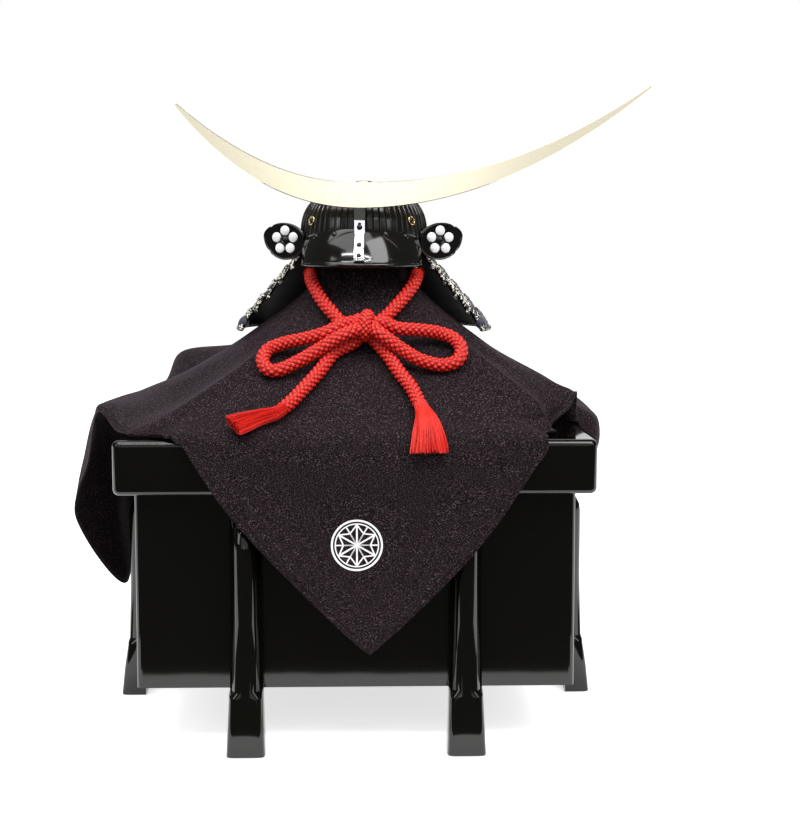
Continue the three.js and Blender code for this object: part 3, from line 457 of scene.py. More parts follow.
def tassel(side):
    """A flat brush of threads, gathered where it meets the cord and cut straight at its tip."""
    route = TASSEL_ROUTES[side]
    line, length = even(curve_points(route, [20] * (len(route) - 1)), 1.0)
    tangents, sides, ups = frames(line)
    level = np.cross(tangents, TASSEL_FACE)
    level /= np.linalg.norm(level, axis=1)[:, None]
    lift = np.cross(level, tangents)
    share = np.linspace(0, 1, len(line))
    width = 2.8 + (TASSEL_TIP_WIDTH[side] / 2 - 2.8) * share ** 1.15
    thick = 3.0 - 0.7 * share
    turn = np.linspace(0, 2 * math.pi, 24, endpoint=False)
    core = (line[:, None] + level[:, None] * (0.8 * width[:, None] * np.cos(turn))[..., None]
            + lift[:, None] * (0.75 * thick[:, None] * np.sin(turn))[..., None])
    bodies = [loft(core[: int(0.9 * len(line))])]
    # The hidden core takes the darkest silk: painted shade inside the brush.
    raised = [np.zeros(len(bodies[0][0]))]
    random = np.random.default_rng(3 if side == "left" else 4)
    stations = np.linspace(0, len(line) - 1, 10).round().astype(int)
    for number in range(TASSEL_THREADS):
        outer = number < 0.55 * TASSEL_THREADS
        angle = random.uniform(0, 2 * math.pi)
        depth = random.uniform(0.84, 1.02) if outer else random.uniform(0.1, 0.84) ** 0.6
        end = random.uniform(0.93, 1.0)
        sway = random.uniform(-0.9, 0.9)
        wave, phase = random.uniform(0.1, 0.35), random.uniform(0, 2 * math.pi)
        rings = []
        for i in stations:
            at = share[i] * end
            k = min(at * (len(line) - 1), len(line) - 1.001)
            j = int(k)
            centre = line[j] + (line[j + 1] - line[j]) * (k - j)
            w, t = np.interp(at, share, width), np.interp(at, share, thick)
            aside = depth * w * math.cos(angle) + sway * at + wave * at * math.sin(phase + 9 * at)
            centre = centre + level[j] * aside + lift[j] * (depth * t * math.sin(angle) + wave * at * math.cos(phase + 7 * at))
            rings.append([centre + (level[j] * math.cos(q) + lift[j] * math.sin(q)) * 0.34
                          for q in (0, 2 * math.pi / 3, 4 * math.pi / 3)])
        bodies.append(loft(rings))
        # Outer threads differ in tone at random. Inner threads are painted darker, as shade inside the brush.
        shade = random.uniform(0.35, 1.0) if outer else random.uniform(0.1, 0.5)
        raised.append(np.full(len(bodies[-1][0]), shade))
    points, faces = merged(*bodies)
    return make(f"tassel_{side}_threads", points, faces, SILK, [f"tassel_{side}"],
                raised=np.concatenate(raised))


knot_piece = knot()
tassels = {side: tassel(side) for side in ("left", "right")}
free_cord("chin_cord", CHIN_ROUTE)
for side in ("left", "right"):
    free_cord(f"bow_loop_{side}", LOOP_ROUTES[side])
    free_cord(f"bow_end_{side}", END_ROUTES[side])


# Cloth. Its rows and columns are those of the model's cloth, apart from the lifted hem at the front right corner.

CLOTH_GAP = 0.5
CLOTH_THICKNESS = 0.9
CLOTH_OFF = 2.0
NECK_RADIUS = 27
NECK_HEIGHT = 79
HEAD_RADIUS = 18.2
CLOTH_TOP = 286.2
FLAP_DROP = 109.5
FLAP_HALF_WIDTH = 94.5
FLAP_SHIFT = 1.5
FLAP_BOW = 1.12
HEM_SCALE = 16
DRAPE_DIRECTIONS = 360
DRAPE_STEPS = (3, 3, 8, 8, 16, 16, 12, 14, 18, 10)
DRAPE_COLUMNS = ("angle", "mid_up", "crest", "crest_up", "under", "under_up", "edge", "edge_up", "belly", "hem",
                 "drop", "swing")
DRAPE_ROWS = [
    (-180, 0.50, 0.72, 0.200, 0.88, 0.075, 1.000, 0.000, 1.02, 1.040, 0.06, 0),
    (-152, 0.52, 0.74, 0.270, 0.88, 0.100, 1.000, 0.010, 1.04, 1.075, 0.05, 0),
    (-138, 0.51, 0.80, 0.330, 0.85, 0.170, 0.910, 0.020, 0.92, 0.925, 0.02, 0),
    (-126, 0.50, 0.89, 0.360, 0.93, 0.190, 0.970, 0.020, 0.98, 0.980, 0.12, 0),
    (-112, 0.56, 0.78, 0.270, 0.94, 0.130, 1.060, 0.040, 1.10, 1.080, 0.66, 0),
    (-100, 0.59, 0.78, 0.300, 0.98, 0.160, 1.100, 0.060, 1.13, 1.100, 0.98, 0),
    (-86, 0.59, 0.78, 0.310, 0.98, 0.170, 1.140, 0.075, 1.23, 1.265, 0.58, 0),
    (-75, 0.57, 0.77, 0.280, 0.96, 0.160, 1.120, 0.110, 1.15, 1.170, 0.28, 0),
    (-66, 0.56, 0.74, 0.230, 0.94, 0.140, 1.090, 0.130, 1.10, 1.100, 0.03, 0),
    (-56, 0.52, 0.72, 0.190, 0.86, 0.100, 0.990, 0.050, 1.00, 1.000, 0.03, 0),
    (-46, 0.50, 0.70, 0.200, 0.80, 0.100, 0.910, 0.010, 0.92, 0.920, 0.02, 0),
    (-39, 0.49, 0.72, 0.200, 0.88, 0.080, 0.990, 0.000, 1.00, 1.000, 0.03, 0),
    (-27, 0.49, 0.74, 0.200, 0.88, 0.080, 1.000, 0.000, 1.04, 1.075, 0.03, 0),
    (0, 0.50, 0.76, 0.200, 0.88, 0.085, 1.000, 0.000, 1.02, 1.040, 0.03, 0),
    (23, 0.50, 0.76, 0.200, 0.88, 0.082, 1.000, 0.000, 1.04, 1.075, 0.03, 0),
    (36, 0.51, 0.76, 0.200, 0.88, 0.080, 1.000, 0.000, 1.01, 1.010, 0.10, 0),
    (38, 0.51, 0.76, 0.190, 0.87, 0.075, 0.990, 0.000, 1.00, 1.002, 0.05, 0),
    (42, 0.52, 0.78, 0.150, 0.81, 0.060, 0.860, 0.005, 0.87, 0.875, 0.00, 0),
    (50, 0.54, 0.77, 0.160, 0.79, 0.100, 0.805, 0.020, 0.81, 0.815, 0.00, 0),
    (59, 0.56, 0.84, 0.210, 0.88, 0.160, 0.900, 0.125, 0.91, 0.913, 0.00, 0),
    (66, 0.54, 0.88, 0.260, 0.93, 0.230, 0.952, 0.212, 0.96, 0.965, 0.00, 0),
    (71, 0.53, 0.91, 0.190, 0.90, 0.080, 0.930, 0.020, 0.96, 0.980, 0.01, -1),
    (78, 0.51, 0.93, 0.130, 1.01, 0.070, 1.070, 0.000, 1.09, 1.080, 0.12, 0),
    (90, 0.50, 0.94, 0.140, 1.04, 0.070, 1.110, -0.010, 1.12, 1.110, 0.22, 0),
    (105, 0.53, 0.88, 0.240, 0.98, 0.150, 1.070, 0.030, 1.09, 1.080, 0.20, 0),
    (120, 0.54, 0.70, 0.260, 0.84, 0.120, 0.940, 0.020, 0.95, 0.950, 0.04, 0),
    (135, 0.50, 0.62, 0.240, 0.74, 0.110, 0.850, 0.015, 0.86, 0.860, 0.02, 0),
    (152, 0.50, 0.70, 0.200, 0.88, 0.080, 1.000, 0.000, 1.04, 1.075, 0.04, 0),
]


def drape_row(degrees):
    """A smooth value between the rows of the table, for any direction."""
    count = len(DRAPE_ROWS)

    def row(i):
        turns, k = divmod(i, count)
        values = DRAPE_ROWS[k]
        return np.array((values[0] + 360 * turns, *values[1:]))

    before = max(i for i in range(count) if DRAPE_ROWS[i][0] <= degrees)
    a, b, c, d = (row(before + k) for k in (-1, 0, 1, 2))
    span = c[0] - b[0]
    t = (degrees - b[0]) / span
    slope_b, slope_c = (c - a) / (c[0] - a[0]), (d - b) / (d[0] - b[0])
    value = ((1 + 2 * t) * (1 - t) ** 2 * b + t * (1 - t) ** 2 * span * slope_b
             + t * t * (3 - 2 * t) * c + t * t * (t - 1) * span * slope_c)
    return dict(zip(DRAPE_COLUMNS, value))


def lid_reach(angle):
    across, forward = math.sin(angle), math.cos(angle)
    to_side = (LID_WIDTH / 2 + CLOTH_OFF - math.copysign(HELMET_SHIFT, across)) / max(abs(across), 1e-6)
    to_end = (LID_DEPTH / 2 + CLOTH_OFF) / max(abs(forward), 1e-6)
    return min(to_side, to_end)


def drape_controls(degrees):
    row = drape_row(degrees)
    angle, swing = math.radians(degrees), math.radians(row["swing"])
    reach = lid_reach(angle)
    on_lid, neck = LID_TOP + CLOTH_OFF, LID_TOP + NECK_HEIGHT
    crest = row["crest"] * reach
    edge_level = on_lid + row["edge_up"] * NECK_HEIGHT
    aside = abs(reach * math.sin(angle) - FLAP_SHIFT)
    flap = 1 - (aside / FLAP_HALF_WIDTH) ** FLAP_BOW if abs(math.cos(angle)) > 0.7 else 0
    drop = FLAP_DROP * max(row["drop"], flap)
    return [
        (0, CLOTH_TOP, 0),
        (0.6 * HEAD_RADIUS, CLOTH_TOP - 1.2, 0),
        (HEAD_RADIUS, CLOTH_TOP - 5.5, 0),
        ((HEAD_RADIUS + NECK_RADIUS) / 2 - 1, (CLOTH_TOP + neck) / 2 - 4, 0),
        (NECK_RADIUS, neck, 0),
        ((NECK_RADIUS + crest) / 2, on_lid + row["mid_up"] * NECK_HEIGHT, 0),
        (crest, on_lid + row["crest_up"] * NECK_HEIGHT, 0),
        (row["under"] * reach, on_lid + row["under_up"] * NECK_HEIGHT, 0),
        (row["edge"] * lid_reach(angle - 0.5 * swing), edge_level, 0.5 * row["swing"]),
        (row["belly"] * lid_reach(angle - 0.8 * swing), edge_level - 0.58 * drop, 0.8 * row["swing"]),
        (row["hem"] * lid_reach(angle - swing), edge_level - drop, row["swing"]),
    ]


def drape_line(degrees):
    """Points down the cloth in one direction, and how far each is from the hem along the cloth."""
    line = curve_points(drape_controls(degrees), DRAPE_STEPS)
    points = []
    for out, level, swing in line:
        angle = math.radians(degrees - swing)
        if out <= lid_reach(angle) - 0.05:
            level = max(level, LID_TOP + CLOTH_OFF)
        points.append((HELMET_SHIFT + out * math.sin(angle), -out * math.cos(angle), level))
    points = np.array(points)
    lengths = np.linalg.norm(np.diff(points, axis=0), axis=1)
    return points, np.append(np.cumsum(lengths[::-1])[::-1], 0)


def drape():
    lines = [drape_line(-180 + 360 * i / DRAPE_DIRECTIONS) for i in range(DRAPE_DIRECTIONS)]
    grid = np.array([points for points, _ in lines]).transpose(1, 0, 2)[1:]
    edge = np.array([distance for _, distance in lines]).T[1:]
    rows, columns = edge.shape
    faces = grid_faces(rows, columns, closed=True)
    top = rows * columns
    points = np.vstack([grid.reshape(-1, 3), lines[0][0][0]])
    faces += [(top, (c + 1) % columns, c) for c in range(columns)]
    faces = [f[::-1] for f in faces]
    made = make("drape", points, faces, CREPE, ["drape_cloth"])
    from_hem = np.append(edge.reshape(-1), 999) / HEM_SCALE
    made.data.attributes.new("from_hem", "FLOAT", "POINT").data.foreach_set("value", np.minimum(from_hem, 1))
    shell = made.modifiers.new("thickness", "SOLIDIFY")
    shell.thickness = CLOTH_THICKNESS * MM
    shell.offset = -1
    return made, faces


cloth, cloth_faces = drape()
cloth_tree = BVHTree.FromPolygons([tuple(v.co) for v in cloth.data.vertices], [tuple(p.vertices) for p in cloth.data.polygons])


# Hemp-leaf roundel on the front of the cloth

ROUNDEL_CENTRE = (0.5, 106)  # across and up
ROUNDEL_RADIUS = 13
LINE_WIDTH = 0.85


def on_cloth(x, z, off=0.25):
    start = Vector(place((x, -300, z))[0])
    hit = cloth_tree.ray_cast(start, Vector((0, 1, 0)))[0]
    return np.array(hit) / MM - BOX_ORIGIN - (0, off, 0)


def stroke(a, b, width=LINE_WIDTH):
    """A painted line from a to b, as a strip of quads on the cloth."""
    a, b = np.array(a, float), np.array(b, float)
    steps = max(2, int(np.linalg.norm(b - a) / 1.5) + 1)
    side = np.array([-(b - a)[1], (b - a)[0]]) / np.linalg.norm(b - a) * width / 2
    points = []
    for t in np.linspace(0, 1, steps):
        at = a + (b - a) * t
        points += [on_cloth(*(at - side)), on_cloth(*(at + side))]
    return np.array(points), [(2 * i, 2 * i + 2, 2 * i + 3, 2 * i + 1)[::-1] for i in range(steps - 1)]


def roundel():
    centre = np.array(ROUNDEL_CENTRE)

    def polar(radius, degrees):
        return centre + radius * np.array([math.sin(math.radians(degrees)), math.cos(math.radians(degrees))])

    strokes = []
    for radius, width in ((ROUNDEL_RADIUS - 0.5, 1.0), (ROUNDEL_RADIUS - 2.2, 0.6)):
        strokes += [stroke(polar(radius, 7.5 * k), polar(radius, 7.5 * (k + 1)), width) for k in range(48)]
    tip, waist = ROUNDEL_RADIUS - 2.6, 0.52 * ROUNDEL_RADIUS
    for k in range(6):
        turn = 60 * k
        strokes.append(stroke(centre, polar(tip, turn)))
        for side in (-30, 30):
            strokes.append(stroke(centre, polar(waist, turn + side), 0.7))
            strokes.append(stroke(polar(tip, turn), polar(waist, turn + side), 0.7))
        strokes.append(stroke(polar(waist, turn + 30), polar(tip, turn + 30), 0.7))
    points, faces = merged(*strokes)
    return make("roundel", points, faces, PRINT)


roundel()


# Box and legs

LID_ROUND = 3
LID_WALL = 6
LID_PLATE = 6


def rounded_ring(width, depth, corner, level, each=8):
    ring = []
    for k, (sx, sy) in enumerate(((1, 1), (-1, 1), (-1, -1), (1, -1))):
        for i in range(each):
            angle = 0.5 * math.pi * (k + i / (each - 1))
            ring.append((sx * (width / 2 - corner) + corner * math.cos(angle),
                         sy * (depth / 2 - corner) + corner * math.sin(angle), level))
    return ring


def lid():
    """An open-bottomed lid with rounded edges."""
    rings = [
        rounded_ring(LID_WIDTH - 2 * LID_WALL, LID_DEPTH - 2 * LID_WALL, 1, LID_TOP - LID_PLATE),
        rounded_ring(LID_WIDTH - 2 * LID_WALL, LID_DEPTH - 2 * LID_WALL, 1, LID_BOTTOM),
    ]
    for low, levels in ((True, range(7)), (False, range(7))):
        for i in levels:
            turn = math.radians(15 * (6 - i if low else i))
            inset = LID_ROUND * (1 - math.cos(turn))
            level = LID_ROUND * (1 - math.sin(turn))
            rings.append(rounded_ring(LID_WIDTH - 2 * inset, LID_DEPTH - 2 * inset, 4 - inset,
                                      LID_BOTTOM + level if low else LID_TOP - level))
    rings.append(rounded_ring(LID_WIDTH - 12, LID_DEPTH - 12, 1, LID_TOP))
    points, faces = loft(rings)
    return make("lid", points, faces, BLACK, ["box_lid"])


LEG_COLUMNS = ("level", "half", "inner", "outer", "squareness")
LEG_ROWS = [
    (0.0, 10.0, 8.0, 22.0, 7.0),
    (0.6, 10.0, 8.0, 22.0, 7.0),
    (14.85, 9.18, 7.6, 20.5, 7.0),
    (28.6, 8.77, 7.2, 18.6, 4.6),
    (29.7, 8.72, 7.2, 18.5, 4.0),
    (32.0, 8.7, 0.3, 18.0, 2.6),
    (66.6, 8.5, 0.3, 17.0, 2.2),
    (104.0, 8.5, 0.3, 17.0, 2.2),
    (108.0, 8.5, 0.3, 16.4, 2.2),
    (113.2, 8.45, 0.3, 13.6, 2.2),
    (116.5, 8.3, 0.3, 10.2, 2.2),
    (118.4, 8.0, 0.3, 7.1, 2.2),
]


def leg(name):
    """A half-round leg, in place of the model's: its box says which side of the display box it stands on."""
    low, high = (np.array(corner) / MM - BOX_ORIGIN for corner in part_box(name))
    middle = (low + high) / 2
    in_front = abs(middle[1]) > abs(middle[0])
    toe = max(abs(low[1]), abs(high[1])) if in_front else max(abs(low[0]), abs(high[0]))
    face = toe - LEG_ROWS[0][3]
    rings = []
    for level, half, inner, outer, squareness in LEG_ROWS:
        ring = []
        for i in range(37):
            angle = math.pi * i / 36
            across = math.copysign(abs(math.cos(angle)) ** (2 / squareness), math.cos(angle)) * half
            out = face + inner + (outer - inner) * max(math.sin(angle), 0) ** (2 / squareness)
            sign = math.copysign(1, middle[1] if in_front else middle[0])
            ring.append((middle[0] + across, sign * out, level) if in_front else (sign * out, middle[1] + across, level))
        rings.append(ring)
    points, faces = loft(rings)
    return make(name.replace("leg", "half_round_leg"), points, faces, BLACK, [name])


lid()
for leg_name in ("leg_front_left", "leg_front_right", "leg_right", "leg_back_right", "leg_back_left", "leg_left"):
    leg(leg_name)

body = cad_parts["box_body"]
body.data.materials.clear()
body.data.materials.append(BLACK)
soften = body.modifiers.new("soft_edges", "BEVEL")
soften.width = 0.8 * MM
soften.segments = 3
soften.limit_method = "ANGLE"
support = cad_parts["helmet_post"]
support.data.materials.clear()
support.data.materials.append(WOOD)


# Helmet, in its own frame

BOWL_BASE = 250
BOWL_TOP = 288.5
BOWL_BELLY = 12
BOWL_HALF_WIDTH = 35
BOWL_LENGTH = 1.07
BOWL_TAPER = 1.4
BOWL_FULLNESS = 2.4
BOWL_WALL = 1.4
RIBS = 62
RIB_HEIGHT = 0.55
RIB_SHARPNESS = 10
RIVET_HEIGHT = 18.3
RIVET_ANGLE = 51
GAP = 0.3


def bowl_radius(level, radius=BOWL_HALF_WIDTH, top=BOWL_TOP):
    belly = BOWL_BASE + BOWL_BELLY
    if level < belly:
        return radius - BOWL_TAPER * ((belly - level) / BOWL_BELLY) ** 2
    share = min((level - belly) / (top - belly), 1)
    return radius * (1 - share ** BOWL_FULLNESS) ** (1 / BOWL_FULLNESS)


def round_bowl(angle, radius, level):
    return (radius * math.sin(angle), -BOWL_LENGTH * radius * math.cos(angle), level)


def bowl():
    """Ribbed outside, smooth inside: one ring after another up the outside and down the inside."""
    around = RIBS * 12
    angles = 2 * math.pi * np.arange(around) / around
    rib = np.maximum(np.cos(RIBS * angles), 0) ** RIB_SHARPNESS
    turns = np.sin(np.linspace(0, 0.5 * math.pi, 26))
    levels = np.concatenate([np.linspace(BOWL_BASE, BOWL_BASE + BOWL_BELLY, 5)[:-1],
                             BOWL_BASE + BOWL_BELLY + (BOWL_TOP - BOWL_BASE - BOWL_BELLY) * turns])[:-1]
    rings = []
    for level in levels:
        radius = bowl_radius(level)
        height = RIB_HEIGHT * min(1, 1.3 * radius / BOWL_HALF_WIDTH)
        r = radius + height * rib
        rings.append(np.stack([r * np.sin(angles), -BOWL_LENGTH * r * np.cos(angles), np.full(around, level)], axis=1))
    inner_top = BOWL_TOP - BOWL_WALL
    inside = []
    for level in levels[::4]:
        r = bowl_radius(min(level, inner_top - 0.1), BOWL_HALF_WIDTH - BOWL_WALL, inner_top)
        inside.append(np.stack([r * np.sin(angles), -BOWL_LENGTH * r * np.cos(angles),
                                np.full(around, min(level, inner_top - 0.1))], axis=1))
    points, faces = loft(inside[::-1] + rings)
    rivets = []
    for degrees in (RIVET_ANGLE, 180 - RIVET_ANGLE, 180 + RIVET_ANGLE, -RIVET_ANGLE):
        angle = math.radians(degrees)
        level = BOWL_BASE + RIVET_HEIGHT
        at = round_bowl(angle, bowl_radius(level), level)
        rivets.append(dome(at, 1.9, 1.9, (math.sin(angle), -math.cos(angle), 0.25)))
    points, faces = merged((points, faces), *rivets)
    return make("ribbed_bowl", points, faces, BOWL_BLACK, ["bowl"], helmet=True)


def ring_body(centre, axis, radius, thick, around=28, section=10):
    """A plain ring of round wire."""
    axis = Vector(axis).normalized()
    side = axis.orthogonal().normalized()
    other = axis.cross(side)
    points = []
    for i in range(around):
        a = 2 * math.pi * i / around
        out = side * math.cos(a) + other * math.sin(a)
        for k in range(section):
            b = 2 * math.pi * k / section
            points.append(tuple(Vector(centre) + out * (radius + thick * math.cos(b)) + axis * thick * math.sin(b)))
    faces = grid_faces(around, section, closed=True)
    last = (around - 1) * section
    faces += [(last + k, last + (k + 1) % section, (k + 1) % section, k) for k in range(section)]
    return np.array(points), faces


def rivet_rings():
    rings = []
    for degrees in (RIVET_ANGLE, 180 - RIVET_ANGLE, 180 + RIVET_ANGLE, -RIVET_ANGLE):
        angle = math.radians(degrees)
        level = BOWL_BASE + RIVET_HEIGHT
        out = (math.sin(angle), -math.cos(angle), 0.25)
        at = np.array(round_bowl(angle, bowl_radius(level), level)) + np.array(out) * 0.75
        rings.append(ring_body(at, out, 2.2, 0.45))
    points, faces = merged(*rings)
    return make("rivet_rings", points, faces, BRASS, helmet=True)


def turned(profile, around=48):
    rings = [[(r * math.cos(2 * math.pi * i / around), r * math.sin(2 * math.pi * i / around), z)
              for i in range(around)] for r, z in profile]
    return loft(rings)


def crown_ring():
    """Three petalled tiers round a recess."""
    low = BOWL_TOP + GAP
    step = 2.2 / 3
    around = 96
    rings = []
    tiers = [(0.5, 0), (8.5, 0), (8.5, 0.6), (8.1, 0.95), (6.7, 1), (6.6, 1.6), (6.3, 1.95), (4.8, 2), (4.7, 2.7),
             (4.4, 3), (3.2, 3), (3.0, 0.7), (0.3, 0.6)]
    for r, z in tiers:
        ring = []
        for i in range(around):
            a = 2 * math.pi * i / around
            petal = 1 - 0.05 * abs(math.sin(6 * a)) if r > 3.3 else 1
            ring.append((r * petal * math.cos(a), r * petal * math.sin(a), low + z * step))
        rings.append(ring)
    points, faces = loft(rings)
    return make("crown_tiers", points, faces, GOLD, ["crown_ring"], helmet=True)


PEAK_TOP_RISE = 13.5
PEAK_TOP_ARCH = 4.3
PEAK_RIM_DROP = 6.6
PEAK_HALF_WIDTH = 32
PEAK_REACH = 50
PEAK_END_REACH = 25
PEAK_SEAT = 56
PEAK_SWEEP = 80
PEAK_THICKNESS = 1.2
PEAK_BULGE = 1.2


def peak_point(side, down, off):
    level = BOWL_BASE + PEAK_TOP_RISE - PEAK_TOP_ARCH * side * side
    seat, sweep = math.radians(PEAK_SEAT * side), math.radians(PEAK_SWEEP)
    radius = bowl_radius(level) + RIB_HEIGHT + GAP
    top = np.array(round_bowl(seat, radius, level))
    forward = (math.cos(sweep * side) - math.cos(sweep)) / (1 - math.cos(sweep))
    reach = PEAK_END_REACH + (PEAK_REACH - PEAK_END_REACH) * forward
    rim = np.array([PEAK_HALF_WIDTH * math.sin(sweep * side) / math.sin(sweep), -reach, BOWL_BASE - PEAK_RIM_DROP])
    out = np.array([math.sin(seat), -math.cos(seat), 0.55])
    out /= np.linalg.norm(out)
    return top + (rim - top) * down + out * (off + 4 * PEAK_BULGE * down * (1 - down))


def peak():
    downs = [(0, 0.1), (0, 1.0), (0.03, PEAK_THICKNESS)]
    downs += [(d, PEAK_THICKNESS) for d in np.linspace(0.1, 0.9, 13)]
    downs += [(0.93, 1.3), (0.955, 1.75), (0.985, 1.95), (1.015, 1.75), (1.035, 1.25), (1.04, 0.7), (1.02, 0.1)]
    downs += [(d, 0) for d in np.linspace(0.95, 0.05, 7)]
    points, faces = loft([[peak_point(side, d, off) for d, off in downs] for side in np.linspace(-1, 1, 81)])
    rivets = []
    for side, down in ((-0.72, 0.12), (-0.38, 0.14), (0.38, 0.14), (0.72, 0.12)):
        at = peak_point(side, down, PEAK_THICKNESS - 0.15)
        rivets.append(dome(at, 1.7, 1.3, peak_point(side, down, 5) - at))
    points, faces = merged((points, faces), *rivets)
    return make("visor", points, faces, PLATE_BLACK, ["peak"], helmet=True)


def peak_strip():
    """A bright strip down the middle of the peak, with two rivets."""
    half = 2.9 / PEAK_HALF_WIDTH / (math.radians(PEAK_SWEEP) / math.sin(math.radians(PEAK_SWEEP)))
    inner, outer = PEAK_THICKNESS + GAP, PEAK_THICKNESS + GAP + 1
    downs = np.linspace(0.2, 0.9, 12)
    rings = []
    for share in (-1, -0.9, -0.5, 0, 0.5, 0.9, 1):
        edge = 0.25 if abs(share) == 1 else 0
        ring = [peak_point(share * half, d, outer - edge) for d in downs]
        ring += [peak_point(share * half, d, inner) for d in downs[::-1]]
        rings.append(ring)
    bodies = [loft(rings)]
    for down in (0.5, 0.78):
        at = peak_point(0, down, outer - 0.1)
        bodies.append(ring_body(at, peak_point(0, down, 5) - at, 1.55, 0.35))
    points, faces = merged(*bodies)
    return make("visor_strip", points, faces, BRIGHT, ["peak_strip"], helmet=True)


def strip_rivets():
    bodies = []
    for down in (0.5, 0.78):
        at = peak_point(0, down, PEAK_THICKNESS + GAP + 0.95)
        bodies.append(dome(at, 1.3, 1.0, peak_point(0, down, 5) - at))
    bodies.append(dome((0, HOLDER_BACK - HOLDER_THICKNESS - LUG_THICKNESS, LUG_LEVEL), 1.6, 1.2, (0, -1, 0)))
    points, faces = merged(*bodies)
    return make("strip_rivets", points, faces, PLATE_BLACK, helmet=True)


HOLDER_BACK = -BOWL_LENGTH * (BOWL_HALF_WIDTH + RIB_HEIGHT + GAP) - PEAK_THICKNESS - 3 * GAP
HOLDER_THICKNESS = 1.4
LUG_WIDTH, LUG_HEIGHT, LUG_THICKNESS = 6, 7.6, 0.7
LUG_LEVEL = BOWL_BASE + 14.6
CREST_THICKNESS = 1.4
CREST_BOTTOM = BOWL_BASE + 24.8
CREST_BAND = 13.8
CREST_LEFT, CREST_RIGHT = 98.7, 155
CREST_LEFT_RISE, CREST_RIGHT_RISE = 55.5, 64.2
CREST_TIP = 2.2


def holder_lug():
    """A bright plate on the lower end of the crest holder."""
    front = HOLDER_BACK - HOLDER_THICKNESS
    rings = []
    for off, inset in ((0.2, 0), (-LUG_THICKNESS + 0.25, 0), (-LUG_THICKNESS, 0.25)):
        w, h = LUG_WIDTH / 2 - inset, LUG_HEIGHT / 2 - inset
        rings.append([(x * w, front + off, LUG_LEVEL + z * h) for x, z in ((-1, -1), (1, -1), (1, 1), (-1, 1))])
    points, faces = loft(rings)
    return make("holder_lug", points, faces, BRIGHT, helmet=True)


def bezier(a, b, c, count):
    t = np.linspace(0, 1, count)[:, None]
    a, b, c = (np.array(p, float) for p in (a, b, c))
    return (1 - t) ** 2 * a + 2 * t * (1 - t) * b + t * t * c


def crescent():
    """The crest: stations from the left tip to the right one, each a section with softened edges."""
    low, high, blunt = CREST_BOTTOM, CREST_BOTTOM + CREST_BAND, CREST_TIP / 2
    left_tip, right_tip = low + CREST_LEFT_RISE, low + CREST_RIGHT_RISE
    count = 70
    lower_right = bezier((0, low), (0.5 * CREST_RIGHT, low), (CREST_RIGHT + 0.5 * blunt, right_tip - blunt), count)
    upper_right = bezier((0.05 * CREST_RIGHT, high), (0.52 * CREST_RIGHT, high), (CREST_RIGHT - blunt, right_tip), count)
    lower_left = bezier((0, low), (-0.56 * CREST_LEFT, low), (-CREST_LEFT - 0.5 * blunt, left_tip - blunt), count)
    upper_left = bezier((-0.03 * CREST_LEFT, high), (-0.5 * CREST_LEFT, high), (-CREST_LEFT + blunt, left_tip), count)
    lower = np.vstack([lower_left[::-1], lower_right[1:]])
    upper = np.vstack([upper_left[::-1], upper_right[1:]])
    back = HOLDER_BACK - HOLDER_THICKNESS - GAP
    front = back - CREST_THICKNESS
    soft = 0.35
    rings = []
    for a, b in zip(lower, upper):
        way = (b - a) / np.linalg.norm(b - a)
        inset = min(soft, 0.25 * np.linalg.norm(b - a))
        rings.append([
            (*a, back + soft), (*a, front + soft), (*(a + way * inset), front), (*(b - way * inset), front),
            (*b, front + soft), (*b, back + soft), (*(b - way * inset), back), (*(a + way * inset), back),
        ])
    rings = np.array(rings)[:, :, [0, 2, 1]]
    rings[:, :, 1] = np.clip(rings[:, :, 1], front, back)
    points, faces = loft(rings)
    return make("crescent", points, faces, GOLD, ["crescent_crest"], helmet=True)


def quadratic_path(pieces, count):
    """An outline of quadratic curves: pieces are (control, end), and the first end is the start."""
    at = np.array(pieces[0][1], float)
    points = [at]
    for control, end in pieces[1:]:
        points += list(bezier(at, control if control is not None else (at + end) / 2, end, count)[1:])
        at = np.array(end, float)
    return np.array(points)


TURNBACK_WIDTH, TURNBACK_HEIGHT = 25, 20.5
TURNBACK_LEAN = 20
TURNBACK_SIDE = 31.9
TURNBACK_OUTLINE = [
    (None, (0, 0.3)), (None, np.array((0, 0.7))), ((0.2, 1), (0.5, 1)), ((0.7, 1), (0.79, 0.91)),
    ((0.8, 0.88), (0.84, 0.9)), ((1.02, 0.78), (1, 0.6)), ((0.97, 0.34), (0.85, 0.24)),
    ((0.83, 0.21), (0.82, 0.17)), ((0.62, -0.02), (0.42, 0)), ((0.12, 0.04), (0, 0.3)),
]
PETAL_RADIUS = 2.5
PETAL_RING = 5.3


def on_turnback(points, side):
    """From the plate's own frame, across, forward and up from its lower inner corner, to the helmet's."""
    low, high = (np.array(c) / MM - BOX_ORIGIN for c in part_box("turnback_right"))
    corner = TURNBACK_Y
    lean = math.radians(TURNBACK_LEAN)
    p = np.asarray(points, float)
    across, forward = p[:, 0], p[:, 1]
    x = TURNBACK_SIDE + across * math.cos(lean) - forward * math.sin(lean)
    y = corner + across * math.sin(lean) + forward * math.cos(lean)
    return np.stack([side * x, y, BOWL_BASE - 3 + p[:, 2]], axis=1)


LAMES = 5
LAME_TOP_RADIUS = 35
LAME_STEP_OUT = 7
LAME_STEP_DOWN = 8
LAME_SLANT = 6.4
LAME_HEIGHT = 9.6
LOW_LAME_HEIGHT = 11
LAME_THICKNESS = 1.2
LAME_HALF_ANGLE = 112
LAME_TOP = BOWL_BASE + 1.5
END_RADIUS = LAME_TOP_RADIUS + LAME_THICKNESS + LAME_SLANT * 4.5 / LAME_HEIGHT
END_ANGLE = math.radians(180 - LAME_HALF_ANGLE)
TURNBACK_Y = (-BOWL_LENGTH * END_RADIUS * math.cos(END_ANGLE)
              - (END_RADIUS * math.sin(END_ANGLE) - TURNBACK_SIDE) * math.tan(math.radians(TURNBACK_LEAN))
              - 1.2 - GAP)


